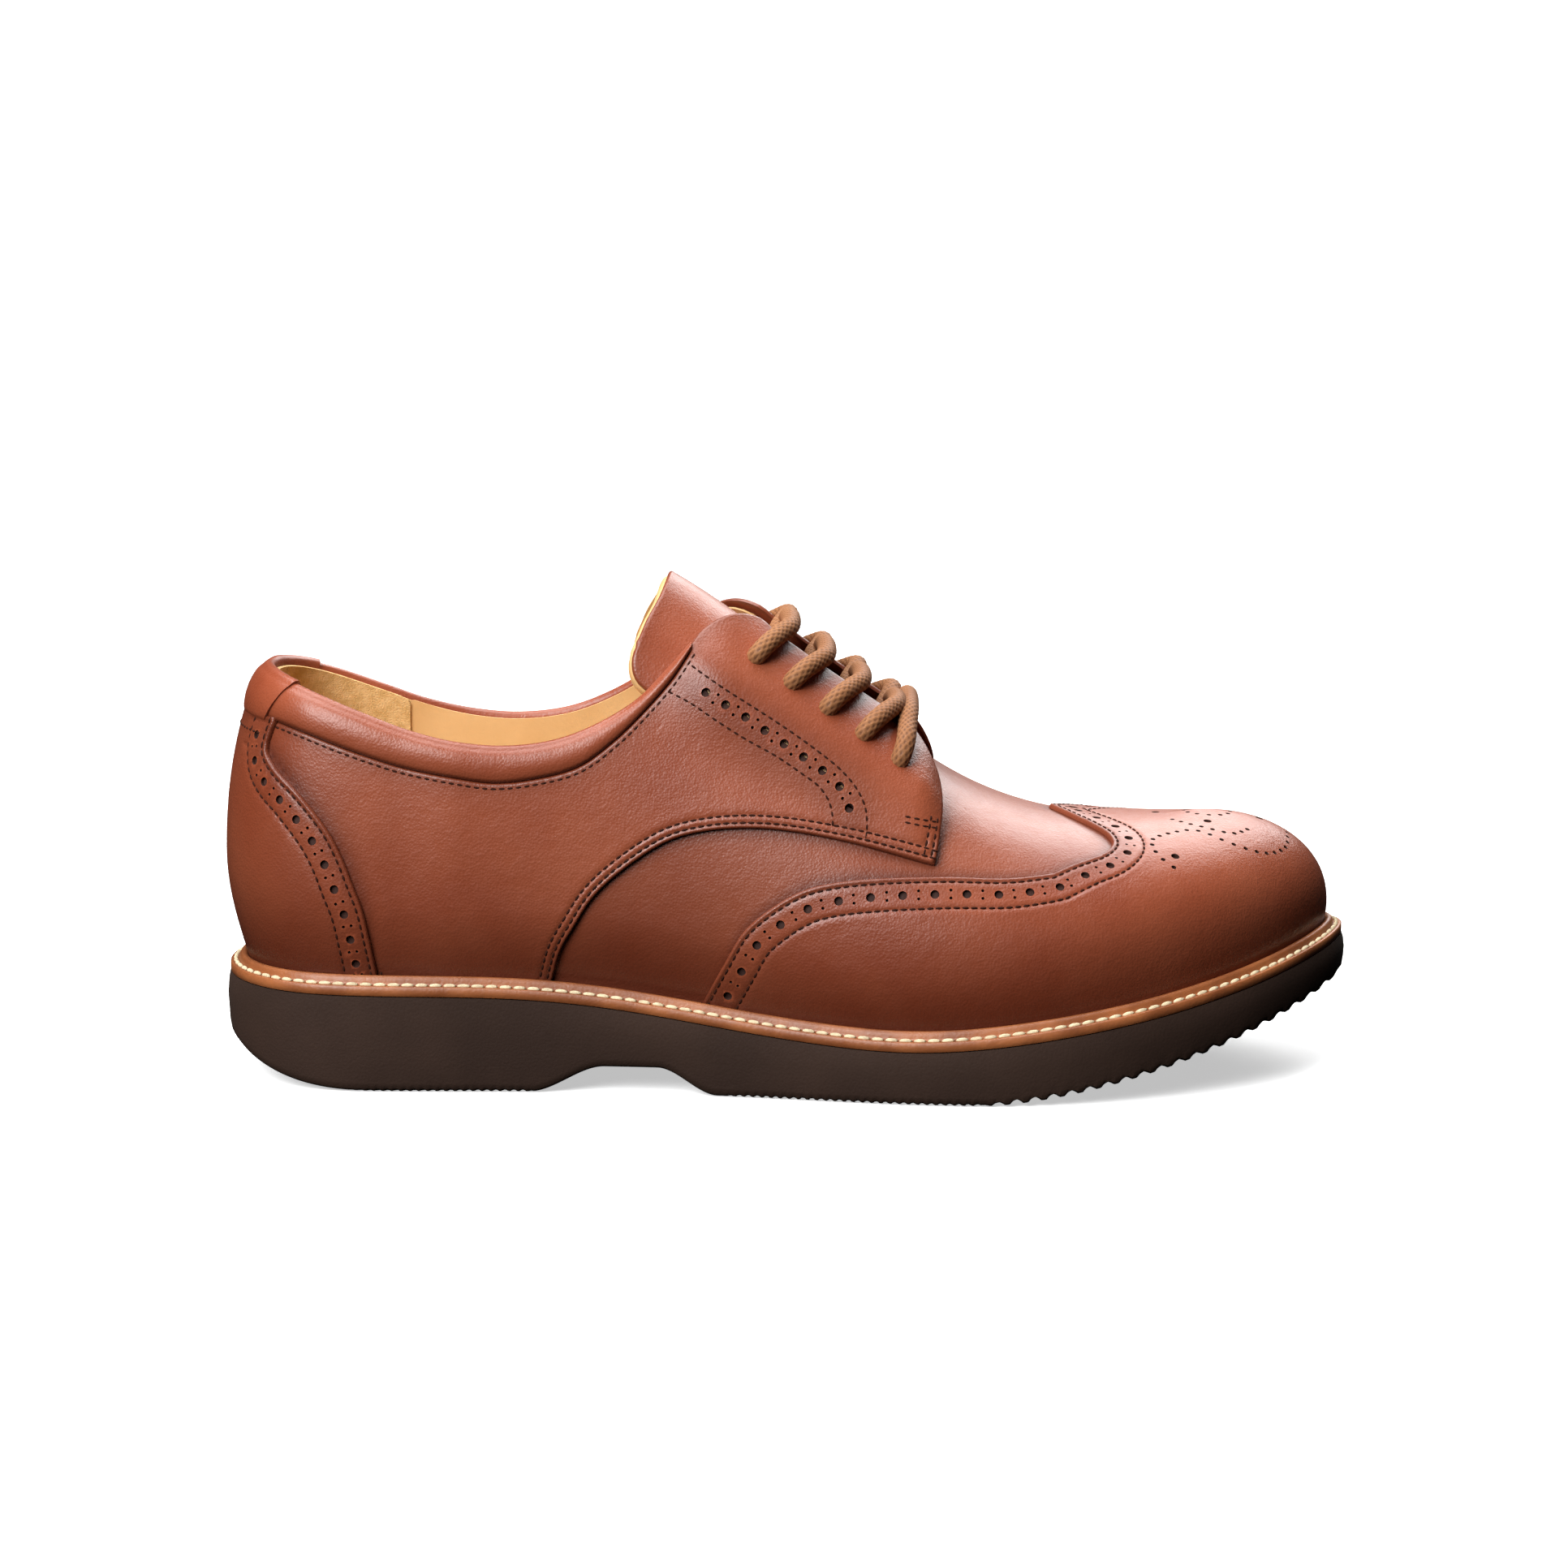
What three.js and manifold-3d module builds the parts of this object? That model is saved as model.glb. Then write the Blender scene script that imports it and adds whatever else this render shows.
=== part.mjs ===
// A right-foot leather wingtip derby shoe, built up piece by piece as a shoemaker builds it.
// Units are millimetres. +X points to the toe, +Y to the medial (inner) side, +Z up.
// The shoe is drawn with the back of its sole near x = 0 and the floor at z = 0, then the whole
// group is moved so that its origin is the centre of its footprint on the floor.
import * as THREE from "three";
import { mergeVertices } from "three/addons/utils/BufferGeometryUtils.js";
import Module from "manifold-3d";

const wasm = await Module();
wasm.setup();

// ---------- driving sizes ----------
const LENGTH = 308; // outsole, heel to toe
const BALL_WIDTH = 110; // outsole, across the ball of the foot
const SOLE_AT_BALL = 14; // outsole thickness under the ball
const TOE_SPRING = 26; // how far the tread lifts at the toe
const HEEL_BEVEL = 12; // how far the tread lifts at the back of the heel
const ARCH_RELIEF = 7; // depth of the hollow under the waist

const LEATHER = 1.3; // upper leather
const LINING = 1.1; // lining leather
const PLY_GAP = 0.3; // clearance between neighbouring layers
const OVERLAP = 9; // how far one upper piece runs under the next
const MARGIN = 10; // lasting margin turned under the insole

const WELT_WIDTH = 6.2; // from the upper to the edge of the sole
const WELT_EDGE = 2.9; // thickness of the welt at its outer edge
const WELT_BEAD = 2.3; // height of the bead that seals against the upper
const WELT_THREAD = 1.3; // thread thickness
const SOLE_FLARE = 0.8; // how far the sole wall swells past the welt

const INSOLE = 2.4; // fibreboard
const FOOTBED_FOAM = 4.0;
const FOOTBED_COVER = 1.2;
const SHANK_LENGTH = 95;
const SHANK_WIDTH = 13;
const SHANK_THICKNESS = 1.1;
const COLLAR_SWELL = 2.2; // how far the padded collar stands out
const TONGUE_FOAM = 2.4;

const LACE = 4.0; // lace diameter
const EYELET_RIM = 1; // width of the metal ring round each eyelet hole
const EYELET_RING = 0.7; // thickness of that ring
const RING_CLEARANCE = 0.9; // between that ring and the lining cut away round it
const EYELET_PAIRS = 5;
const LACE_CLEARANCE = 1; // round the lace in its hole
const LACE_ROOM = 2.2; // spare height round the lace between facing and tongue
const TONGUE_DEPTH = 0.3; // the tongue's face below the instep
const FACING_LIFT = LACE + LACE_ROOM + LINING - TONGUE_DEPTH; // facings stand off the instep by this
const AGLET_LENGTH = 16;
const TREAD_GROOVE = 1.6; // depth of the grooves across the tread
const TREAD_PITCH = 12;
const TREAD_GROOVE_WIDTH = 4;

// ---------- splines ----------
// Natural cubic spline through rows of [t, ...values]. Returns t => values.
function spline(rows) {
  const n = rows.length;
  const width = rows[0].length - 1;
  const t = rows.map((row) => row[0]);
  const bend = Array.from({ length: n }, () => new Array(width).fill(0));
  for (let k = 0; k < width; k++) {
    const value = rows.map((row) => row[k + 1]);
    const upper = new Array(n).fill(0);
    const right = new Array(n).fill(0);
    for (let i = 1; i < n - 1; i++) {
      const before = t[i] - t[i - 1];
      const after = t[i + 1] - t[i];
      const slopes = (value[i + 1] - value[i]) / after - (value[i] - value[i - 1]) / before;
      const pivot = 2 * (before + after) - before * upper[i - 1];
      upper[i] = after / pivot;
      right[i] = (6 * slopes - before * right[i - 1]) / pivot;
    }
    for (let i = n - 2; i > 0; i--) bend[i][k] = right[i] - upper[i] * bend[i + 1][k];
  }
  return (x) => {
    let i = 0;
    while (i < n - 2 && x > t[i + 1]) i++;
    const h = t[i + 1] - t[i];
    const a = t[i + 1] - x;
    const b = x - t[i];
    return bend[i].map((m, k) => {
      const m2 = bend[i + 1][k];
      const left = (rows[i][k + 1] / h - (m * h) / 6) * a;
      const rightPart = (rows[i + 1][k + 1] / h - (m2 * h) / 6) * b;
      return (m * a ** 3 + m2 * b ** 3) / (6 * h) + left + rightPart;
    });
  };
}

const clamp = (x, low, high) => Math.min(high, Math.max(low, x));

function ease(x, from, to) {
  const s = clamp((x - from) / (to - from), 0, 1);
  return s * s * (3 - 2 * s);
}

// ---------- grading ----------
// The tables below are drawn for one sample size, and graded to the size wanted.
const SAMPLE = { length: 308, width: 110, ball: 14 };
const gx = (x) => (x * LENGTH) / SAMPLE.length;
const gy = (y) => (y * BALL_WIDTH) / SAMPLE.width;
const ungx = (x) => (x * SAMPLE.length) / LENGTH;
const raise = SOLE_AT_BALL - SAMPLE.ball; // everything above the sole moves up with it

// ---------- the sole's two faces, as heights over x ----------
const soleTopCurve = spline([
  [-4, 27.4], [10, 26.6], [58, 25.6], [86, 24.7], [113, 21.8], [138, 18], [160, 15.3], [183, 14],
  [200, 14.8], [217, 16.8], [234, 19.4], [251, 22.4], [268, 25.9], [285, 29.8], [302, 34.4], [312, 37.4],
]);
const soleTop = (x) => soleTopCurve(ungx(x))[0] + raise;

const HEEL_BEVEL_LENGTH = 45;
const TOE_BREAK = 205; // where the tread starts to lift
const ARCH = { from: 84, to: 134 };

function treadHeight(x) {
  const s = ungx(x);
  const heel = HEEL_BEVEL * clamp(1 - s / HEEL_BEVEL_LENGTH, 0, 1.2) ** 2.6;
  const toe = TOE_SPRING * clamp((s - TOE_BREAK) / (SAMPLE.length - TOE_BREAK), 0, 1.1) ** 1.45;
  const arch = ARCH_RELIEF * Math.min(ease(s, ARCH.from, ARCH.from + 20), 1 - ease(s, ARCH.to - 16, ARCH.to));
  return heel + toe + arch;
}

// ---------- the last: the form that every upper piece is pulled over ----------
// One row per station from heel (w = 0) to toe (w = 1): w, crown x y z, lateral foot x y,
// medial foot x y, lateral and medial swell, height of the swell on each side, and the
// roundness of each side. Foot points lie on the feather line, where upper meets welt.
const STATIONS = [
  [0.0, 43, 0, 137, 6.6, 0, 6.6, 0, 5.3, 5.3, 28, 28, 2.0, 2.0],
  [0.05, 44, 0, 139, 10, -16.5, 10, 16.5, 5.0, 5.0, 27, 27, 2.0, 2.0],
  [0.1, 47, 0, 146, 21, -28.2, 21, 28.2, 4.6, 4.4, 25, 25, 2.0, 2.0],
  [0.16, 54, 0, 156, 40, -32.8, 40, 32.4, 4.2, 4.0, 22, 23, 2.0, 2.0],
  [0.25, 73, 0.3, 160, 70, -33.3, 70, 31.8, 4.5, 5.5, 20, 22, 2.0, 2.0],
  [0.34, 100, 1, 147, 100, -34.3, 100, 29.5, 4.8, 8.0, 20, 24, 1.95, 2.0],
  [0.43, 130, 2, 130, 130, -37.8, 130, 28.5, 4.6, 9.0, 20, 25, 1.9, 1.95],
  [0.5, 155, 2.5, 111.5, 155, -42.8, 155, 30.5, 4.0, 7.5, 18, 22, 1.9, 1.95],
  [0.58, 180, 3, 92, 180, -48.2, 180, 35.5, 3.2, 4.8, 16, 18, 1.95, 2.0],
  [0.65, 203, 3.5, 77.3, 203, -50.8, 203, 41.5, 2.4, 2.8, 14, 14, 2.1, 2.1],
  [0.71, 223, 4, 70, 224, -50, 224, 45.5, 1.8, 2.0, 12, 12, 2.2, 2.2],
  [0.77, 240, 4.5, 67.4, 244, -45.5, 245, 46, 1.5, 1.6, 11, 11, 2.25, 2.25],
  [0.83, 253, 5, 66.9, 263, -36.5, 265, 42.5, 1.2, 1.3, 9, 9, 2.25, 2.25],
  [0.9, 260, 5.6, 67.3, 280.5, -22.5, 283, 33.5, 0.9, 0.9, 7, 7, 2.2, 2.2],
  [0.96, 264, 6.2, 67.6, 294, -6, 294.5, 21.5, 0.7, 0.7, 6, 6, 2.15, 2.15],
  [1.0, 265, 6.5, 67.7, 299, 8, 299, 8, 0.6, 0.6, 5, 5, 2.15, 2.15],
];
const FEATHER_RISE = WELT_EDGE + WELT_BEAD; // feather line above the top of the sole
const MARGIN_RISE = LEATHER + PLY_GAP * 2 + 0.6; // turned margin above the top of the sole

// Rows for one side of the last over the loop parameter v: 0 to 1 lateral, 1 to 2 medial.
function loopRows() {
  const side = (row, medial) => {
    const [w, cx, cy, cz, lx, ly, mx, my, ls, ms, lh, mh, le, me] = row;
    const [x, y] = medial ? [mx, my] : [lx, ly];
    const v = medial ? 2 - w : w;
    return [v, gx(cx), gy(cy), cz + raise, gx(x), gy(y), medial ? ms : ls, medial ? mh : lh, medial ? me : le];
  };
  const lateral = STATIONS.map((row) => side(row, false));
  const medial = STATIONS.slice(1, -1).reverse().map((row) => side(row, true));
  const ring = [...lateral, ...medial];
  const shifted = (row, turn) => [row[0] + 2 * turn, ...row.slice(1)];
  return [...ring.slice(-4).map((row) => shifted(row, -1)), ...ring, ...ring.slice(0, 5).map((row) => shifted(row, 1))];
}
const loop = spline(loopRows());

const WIDEST = 0.25; // share of a profile below its widest point

// The profile of the last at loop parameter v.
function profileAt(v) {
  const [cx, cy, cz, fx, fy, swell, swellHeight, roundness] = loop(((v % 2) + 2) % 2);
  const reach = Math.hypot(fx - cx, fy - cy);
  const out = [(fx - cx) / reach, (fy - cy) / reach];
  return { cx, cy, cz, reach, out, swell, swellHeight, roundness, footZ: soleTop(fx) + FEATHER_RISE };
}

// A point of the last. t runs from 0 at the feather line to 1 at the crown.
function lastPoint(v, t) {
  const p = profileAt(v);
  const wide = p.reach + p.swell;
  const wideZ = p.footZ + p.swellHeight;
  const angle = (clamp((t - WIDEST) / (1 - WIDEST), 0, 1) * Math.PI) / 2;
  const low = clamp(t / WIDEST, 0, 1);
  const r = t < WIDEST
    ? p.reach + p.swell * Math.sin((low * Math.PI) / 2)
    : wide * Math.max(0, Math.cos(angle)) ** (2 / p.roundness);
  const z = t < WIDEST
    ? p.footZ + p.swellHeight * low
    : wideZ + (p.cz - wideZ) * Math.sin(angle) ** (2 / p.roundness);
  return new THREE.Vector3(p.cx + p.out[0] * r, p.cy + p.out[1] * r, z);
}

// The outward normal of the last.
function lastNormal(v, t) {
  if (t > 0.995) {
    const [a, b] = [lastNormal(v, 0.97), lastNormal(2 - v, 0.97)];
    return a.add(b).normalize();
  }
  const dv = 0.004;
  const dt = 0.01;
  const along = lastPoint(v + dv, t).sub(lastPoint(v - dv, t));
  const up = lastPoint(v, Math.min(1, t + dt)).sub(lastPoint(v, Math.max(0.001, t - dt)));
  return along.cross(up).normalize();
}

// How far the quarters and their lining stand off the last: they ride over the vamp's edge,
// and the facings rise clear of the instep.
function quarterLift(point, t) {
  const x = ungx(point.x);
  const overVamp = (LEATHER + PLY_GAP) * ease(x, 48, 66);
  const facing = FACING_LIFT * ease(x, 108, 136) * (1 - ease(x, 184, 200)) * ease(t, 0.5, 0.69);
  return { overVamp, facing };
}

// ---------- solids ----------
function manifoldOf(geometry) {
  const bare = new THREE.BufferGeometry();
  bare.setAttribute("position", geometry.getAttribute("position"));
  if (geometry.index) bare.setIndex(geometry.index);
  const merged = mergeVertices(bare, 1e-3);
  return new wasm.Manifold(
    new wasm.Mesh({
      numProp: 3,
      vertProperties: new Float32Array(merged.attributes.position.array),
      triVerts: new Uint32Array(merged.index.array),
    }),
  );
}

function geometryOf(solid) {
  const mesh = solid.getMesh();
  const position = new Float32Array(mesh.numVert * 3);
  for (let i = 0; i < mesh.numVert; i++) {
    position.set(mesh.vertProperties.subarray(i * mesh.numProp, i * mesh.numProp + 3), i * 3);
  }
  const geometry = new THREE.BufferGeometry();
  geometry.setAttribute("position", new THREE.BufferAttribute(position, 3));
  geometry.setIndex(new THREE.BufferAttribute(mesh.triVerts, 1));
  return geometry;
}

// A solid from quads and triangles given as corner points.
function solidOfFaces(faces) {
  const position = [];
  for (const face of faces) {
    for (let i = 1; i < face.length - 1; i++) {
      for (const corner of [face[0], face[i], face[i + 1]]) position.push(corner.x, corner.y, corner.z);
    }
  }
  const geometry = new THREE.BufferGeometry();
  geometry.setAttribute("position", new THREE.Float32BufferAttribute(position, 3));
  const merged = mergeVertices(geometry, 1e-3);
  const index = [...merged.index.array];
  const kept = [];
  for (let i = 0; i < index.length; i += 3) {
    const [a, b, c] = index.slice(i, i + 3);
    if (a !== b && b !== c && a !== c) kept.push(a, b, c);
  }
  merged.setIndex(kept);
  const solid = manifoldOf(merged);
  if (solid.volume() >= 0) return solid;
  for (let i = 0; i < kept.length; i += 3) [kept[i], kept[i + 1]] = [kept[i + 1], kept[i]];
  merged.setIndex(kept);
  return manifoldOf(merged);
}

const keepLargest = (solid) => solid.decompose().reduce((a, b) => (a.volume() > b.volume() ? a : b));

// A prism with the outline drawn on the side elevation, reaching from y = low to y = high.
function sidePrism(points, low = -200, high = 200) {
  const shape = new THREE.Shape(points.map(([x, z]) => new THREE.Vector2(gx(x), z + raise)));
  const geometry = new THREE.ExtrudeGeometry(shape, { depth: high - low, bevelEnabled: false });
  geometry.rotateX(Math.PI / 2);
  geometry.translate(0, high, 0);
  return manifoldOf(geometry);
}

// A prism with the outline drawn on the plan, tall enough to pass through the whole shoe.
function planPrism(points) {
  const shape = new THREE.Shape(points.map(([x, y]) => new THREE.Vector2(gx(x), gy(y))));
  const geometry = new THREE.ExtrudeGeometry(shape, { depth: 400, bevelEnabled: false });
  geometry.translate(0, 0, -100);
  return manifoldOf(geometry);
}

// Points along a smooth curve through a few hand-placed ones.
function smooth(points, steps = 2) {
  const curve = new THREE.CatmullRomCurve3(points.map(([x, y]) => new THREE.Vector3(x, y, 0)), false, "centripetal");
  return curve.getPoints((points.length - 1) * steps).map((p) => [p.x, p.y]);
}

// ---------- shells over the last ----------
const COLUMNS = [0, 0.05, 0.1, 0.17, 0.25, 0.33, 0.39, 0.43, 0.47, 0.51, 0.55, 0.6, 0.67, 0.74, 0.8, 0.86, 0.92, 0.96, 1];
const ROWS = [-2, -1, 0, 0.25, 0.42, 0.55, 0.64, 0.73, 0.84, 1];

// A point of a layer: row -2 is the inner edge of the turned margin, row -1 its fold.
function layerPoint(v, row, offset) {
  if (row >= 0) {
    const base = lastPoint(v, row);
    const normal = row === 0 ? lastNormal(v, 0.01).setZ(0).normalize() : lastNormal(v, row);
    return base.addScaledVector(normal, offset(base, row));
  }
  const p = profileAt(v);
  const by = offset(lastPoint(v, 0), 0);
  const r = row === -1 ? p.reach + by : p.reach - MARGIN;
  const point = new THREE.Vector3(p.cx + p.out[0] * r, p.cy + p.out[1] * r, 0);
  point.z = soleTop(point.x) + MARGIN_RISE - by;
  return point;
}

// A closed shell over the whole last, between two offsets given as functions of the place.
function shell(inner, outer, rows = ROWS) {
  const up = rows.map((row) => ({ row, medial: false }));
  const down = rows.slice(0, -1).reverse().map((row) => ({ row, medial: true }));
  const across = [...up, ...down];
  const sheet = (offset) => COLUMNS.map((w) => across.map(({ row, medial }) => layerPoint(medial ? 2 - w : w, row, offset)));
  const [low, high] = [sheet(inner), sheet(outer)];
  const faces = [];
  const last = across.length - 1;
  for (let i = 0; i < COLUMNS.length - 1; i++) {
    for (let j = 0; j < last; j++) {
      faces.push([high[i][j], high[i + 1][j], high[i + 1][j + 1]], [high[i][j], high[i + 1][j + 1], high[i][j + 1]]);
      faces.push([low[i][j], low[i + 1][j + 1], low[i + 1][j]], [low[i][j], low[i][j + 1], low[i + 1][j + 1]]);
    }
    faces.push([low[i][0], low[i + 1][0], high[i + 1][0]], [low[i][0], high[i + 1][0], high[i][0]]);
    faces.push([high[i][last], high[i + 1][last], low[i + 1][last]], [high[i][last], low[i + 1][last], low[i][last]]);
  }
  return solidOfFaces(faces);
}

const flat = (value) => () => value;
const quarterOffset = (depth) => (point, row) => {
  const lift = quarterLift(point, Math.max(row, 0));
  return lift.overVamp + lift.facing - depth;
};
const liningOffset = (depth) => (point, row) => {
  const lift = quarterLift(point, Math.max(row, 0));
  const follow = lift.facing / FACING_LIFT;
  return lift.facing + (LEATHER + PLY_GAP) * follow - depth;
};

const LINING_OUT = LEATHER + PLY_GAP; // depth of the lining's outer face below the last's surface
const LINING_IN = LINING_OUT + LINING;

// ---------- seam lines on the side elevation: [x, z] ----------
const TOPLINE = [
  [-10, 113], [9, 112], [23, 107.5], [41, 100.7], [52, 96.7], [65, 93.7], [78, 92.7], [91, 94.3], [102, 98.4],
  [113, 105], [121, 113], [127, 119.5], [132, 124.5], [138, 127], [146, 127],
];
const COLLAR_SEAM = [
  [-10, 97.5], [9, 97.3], [19, 96.2], [37, 90.8], [58, 84.3], [75, 82.5], [86, 83.6], [95, 86], [107, 93.8], [115, 101.5],
  [121, 108.5], [127, 116],
];
const HEEL_SEAM = [
  [25, 130], [22, 108.8], [14.8, 100.7], [11.2, 92], [13.2, 87.2], [22.2, 79.3], [30.5, 70], [35.4, 58], [39.9, 40.6], [45, 26], [47, 10],
];
const ARCH_SEAM = [
  [87, 10], [89.6, 30], [96, 44.6], [101, 52.5], [108, 59.3], [121, 67.9], [131, 70.7], [142, 71.6], [153, 71], [168, 68.5],
  [183, 64.8], [191.5, 62.5],
];
const FACING_FRONT = [[191.5, 62.5], [193, 70], [193.8, 78], [193, 84], [189, 92], [184, 110]];
const WING_TAIL = [
  [127, 10], [132, 28], [136.2, 36], [141.2, 44.5], [148.7, 51], [157, 55.6], [165, 57.6], [177, 58.7], [193.6, 58.8],
  [210, 57.9], [227, 58.6],
];
const WING_LOOP = [[219, -40], [228, -35], [236, -30.5], [239, -25], [238, -19], [234.5, -13], [229.5, -5.5], [224, 3.5]];
const VAMP_REACH = [[150, 10], [156, 40], [200, 48], [236, 51], [247, 58], [248, 90]];
const VAMP_REAR = [
  [76, 10], [80, 30], [85, 46], [95, 60], [106, 70], [121, 77.5], [142, 81], [165, 78.5], [182, 76],
];
const THROAT = 187;

const smoothTopline = smooth(TOPLINE);
const belowTopline = () => sidePrism([...smoothTopline, [150, 160], [210, 160], [210, -20], [-30, -20], [-30, 113]]);
const shifted = (points, dx, dz) => points.map(([x, z]) => [x + dx, z + dz]);

// Everything behind the counter's front edge; grow moves that edge forward.
const behindHeelSeam = (grow = 0) => sidePrism([...smooth(shifted(HEEL_SEAM, grow, 0)), [-40, 10], [-40, 130]]);
// Everything under the wing line: the side view gives its tail, the plan its front loop and peak.
function underWingLine() {
  const tail = sidePrism([...smooth(WING_TAIL), [330, 58.6], [330, 10]]);
  const mirrored = WING_LOOP.slice(0, -1).reverse().map(([x, y]) => [x, 8.5 - y]);
  const loopLine = smooth([...WING_LOOP]);
  const otherLine = smooth([WING_LOOP.at(-1), ...mirrored]);
  const front = planPrism([[219, -90], ...loopLine, ...otherLine.slice(1), [219, 90], [340, 90], [340, -90]]);
  return tail.add(front);
}

// ---------- the upper ----------
const pieces = new Map();
const addPiece = (name, solid, look) => pieces.set(name, { solid: keepLargest(solid), look });
const TAN = { color: 0x9a4a2c, roughness: 0.45, metalness: 0 };
const DARK_TAN = { color: 0x84391f, roughness: 0.45, metalness: 0 };
const NATURAL = { color: 0xd9a85c, roughness: 0.7, metalness: 0 };
const BOARD = { color: 0xb08d5a, roughness: 0.9, metalness: 0 };
const RUBBER = { color: 0x3d2f29, roughness: 0.8, metalness: 0 };
const FOAM = { color: 0xe6dcc0, roughness: 0.95, metalness: 0 };
const STEEL = { color: 0x8d9196, roughness: 0.35, metalness: 0.9 };
const BRASS = { color: 0x6d5a3a, roughness: 0.4, metalness: 0.9 };
const THREAD = { color: 0xe9dcc2, roughness: 0.8, metalness: 0 };
const COTTON = { color: 0x9a6236, roughness: 0.85, metalness: 0 };
const HALF = { lateral: [-200, gy(2)], medial: [gy(4), 200] };
const SEAM_GAP = 0.6; // between pieces that meet edge to edge

const halfBox = (side, fromX = -50, toX = 400) =>
  sidePrism([[fromX, -50], [toX, -50], [toX, 250], [fromX, 250]], ...HALF[side]);

// Toe cap with its two wings, over the front edge of the vamp.
function buildWingtip() {
  const layer = shell(flat(PLY_GAP), flat(PLY_GAP + LEATHER));
  addPiece("wingtip", layer.intersect(underWingLine()), TAN);
}

// Vamp, toe puff and heel stiffener share the layer on the last's own surface.
function buildBaseLayer() {
  const layer = shell(flat(-LEATHER), flat(0));
  const reach = smooth(VAMP_REACH);
  const vampShape = [...smooth(VAMP_REAR), [THROAT, 78], [THROAT, 200], [248, 200], ...[...reach].reverse()];
  addPiece("vamp", layer.intersect(sidePrism(vampShape)), TAN);
  const puffShape = [...shifted(reach, SEAM_GAP, 0), [248 + SEAM_GAP, 200], [400, 200], [400, 10]];
  addPiece("toe_puff", layer.intersect(sidePrism(puffShape)), BOARD);
  const inner = behindHeelSeam(-OVERLAP - SEAM_GAP).intersect(sidePrism([...smooth(shifted(COLLAR_SEAM, 0, -1)), [200, 10], [-40, 10]]));
  addPiece("heel_stiffener", layer.intersect(inner), BOARD);
}

// The two quarters with their eyelet facings, over the vamp's rear edge.
function buildQuarters(eyelets) {
  const layer = shell(quarterOffset(LEATHER), quarterOffset(0)).intersect(belowTopline());
  const below = sidePrism([...smooth(COLLAR_SEAM), [127.5, 140], [200, 140], [220, -10], [-40, -10]]);
  const behind = sidePrism([...smooth(ARCH_SEAM), ...smooth(FACING_FRONT), [184, 200], [-40, 200], [-40, 10]]);
  for (const side of ["lateral", "medial"]) {
    const facing = planPrism(facingPlan(side, 0));
    let quarter = layer.intersect(behind).intersect(below).intersect(facing).subtract(behindHeelSeam(-OVERLAP));
    for (const eyelet of eyelets[side]) quarter = quarter.subtract(drill(eyelet, LACE / 2 + LACE_CLEARANCE));
    addPiece("quarter_" + side, quarter, TAN);
  }
}

// The plan of one side's facing: everything outside the edge that runs beside the tongue.
function facingPlan(side, inset) {
  const edge = [[-40, 2], [90, 2], [118, -4], [128, -11.5], [138, -15.5], [150, -12.5], [170, -9.5], [192, -7], [210, -6]];
  const line = smooth(edge.map(([x, y]) => [x, y - inset]));
  const shape = [...line, [210, -120], [-40, -120]];
  return side === "lateral" ? shape : shape.map(([x, y]) => [x, 6 - y]);
}

// Padded collar skins above the collar seam, with the heel tab between them.
function buildCollar() {
  const band = belowTopline().subtract(sidePrism([...smooth(shifted(COLLAR_SEAM, -0.2, SEAM_GAP)), [140, 118], [140, -40], [-40, -40]]));
  const upTo = sidePrism([[-40, 60], [127, 60], [127, 200], [-40, 200]]);
  const swell = (depth) => (point, row) => {
    const high = ease(point.z - raise, 84, 92) * (1 - ease(ungx(point.x), 96, 122));
    return quarterOffset(depth)(point, row) + COLLAR_SWELL * high + (LEATHER + PLY_GAP) * (1 - ease(ungx(point.x), 48, 66));
  };
  const skin = shell(swell(LEATHER), swell(0)).intersect(band).intersect(upTo);
  const core = shell((point, row) => liningOffset(LINING_OUT - PLY_GAP)(point, row), swell(LEATHER + PLY_GAP));
  for (const side of ["lateral", "medial"]) {
    addPiece("collar_" + side, skin.intersect(halfBox(side)).subtract(behindHeelSeam(SEAM_GAP)), TAN);
  }
  addPiece("heel_tab", skin.intersect(behindHeelSeam()), DARK_TAN);
  addPiece("collar_foam", core.intersect(band).intersect(upTo), FOAM);
}

// Heel counter with its brogued edges, over the rear of both quarters.
function buildCounter() {
  const layer = shell(flat(PLY_GAP), flat(PLY_GAP + LEATHER));
  const below = sidePrism([...smooth(shifted(COLLAR_SEAM, 0, -SEAM_GAP)), [200, -20], [-40, -20]]);
  addPiece("heel_counter", layer.intersect(behindHeelSeam()).intersect(below), DARK_TAN);
}

// Linings: suede heel grip, two quarter linings and the vamp lining.
function buildLinings(eyelets) {
  const layer = shell(liningOffset(LINING_IN), liningOffset(LINING_OUT)).intersect(belowTopline());
  const plain = shell(flat(-LINING_IN), flat(-LINING_OUT));
  const grip = 46;
  const front = [[112, -10], [112, 71], ...smooth(shifted(VAMP_REAR.slice(5), 0, 0.9)), [THROAT, 77], [THROAT + 2, 200]];
  addPiece("heel_grip", layer.intersect(sidePrism([[-40, -20], [grip, -20], [grip, 200], [-40, 200]])), NATURAL);
  const behind = sidePrism([[grip + SEAM_GAP, -10], ...front, [grip + SEAM_GAP, 200]]);
  for (const side of ["lateral", "medial"]) {
    let lining = layer.intersect(behind).intersect(planPrism(facingPlan(side, 0.8)));
    for (const eyelet of eyelets[side]) {
      lining = lining.subtract(drill(eyelet, LACE / 2 + LACE_CLEARANCE + EYELET_RIM + RING_CLEARANCE));
    }
    addPiece("quarter_lining_" + side, lining, NATURAL);
  }
  const ahead = sidePrism([...shifted(front.slice(0, -2), SEAM_GAP, -SEAM_GAP), [THROAT, 76], [THROAT, 200], [400, 200], [400, -10]]);
  addPiece("vamp_lining", plain.intersect(ahead), NATURAL);
}

// ---------- tongue ----------
const TONGUE = { base: THROAT - 0.4, top: [123, 137], flank: [108.5, 111] };

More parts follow.
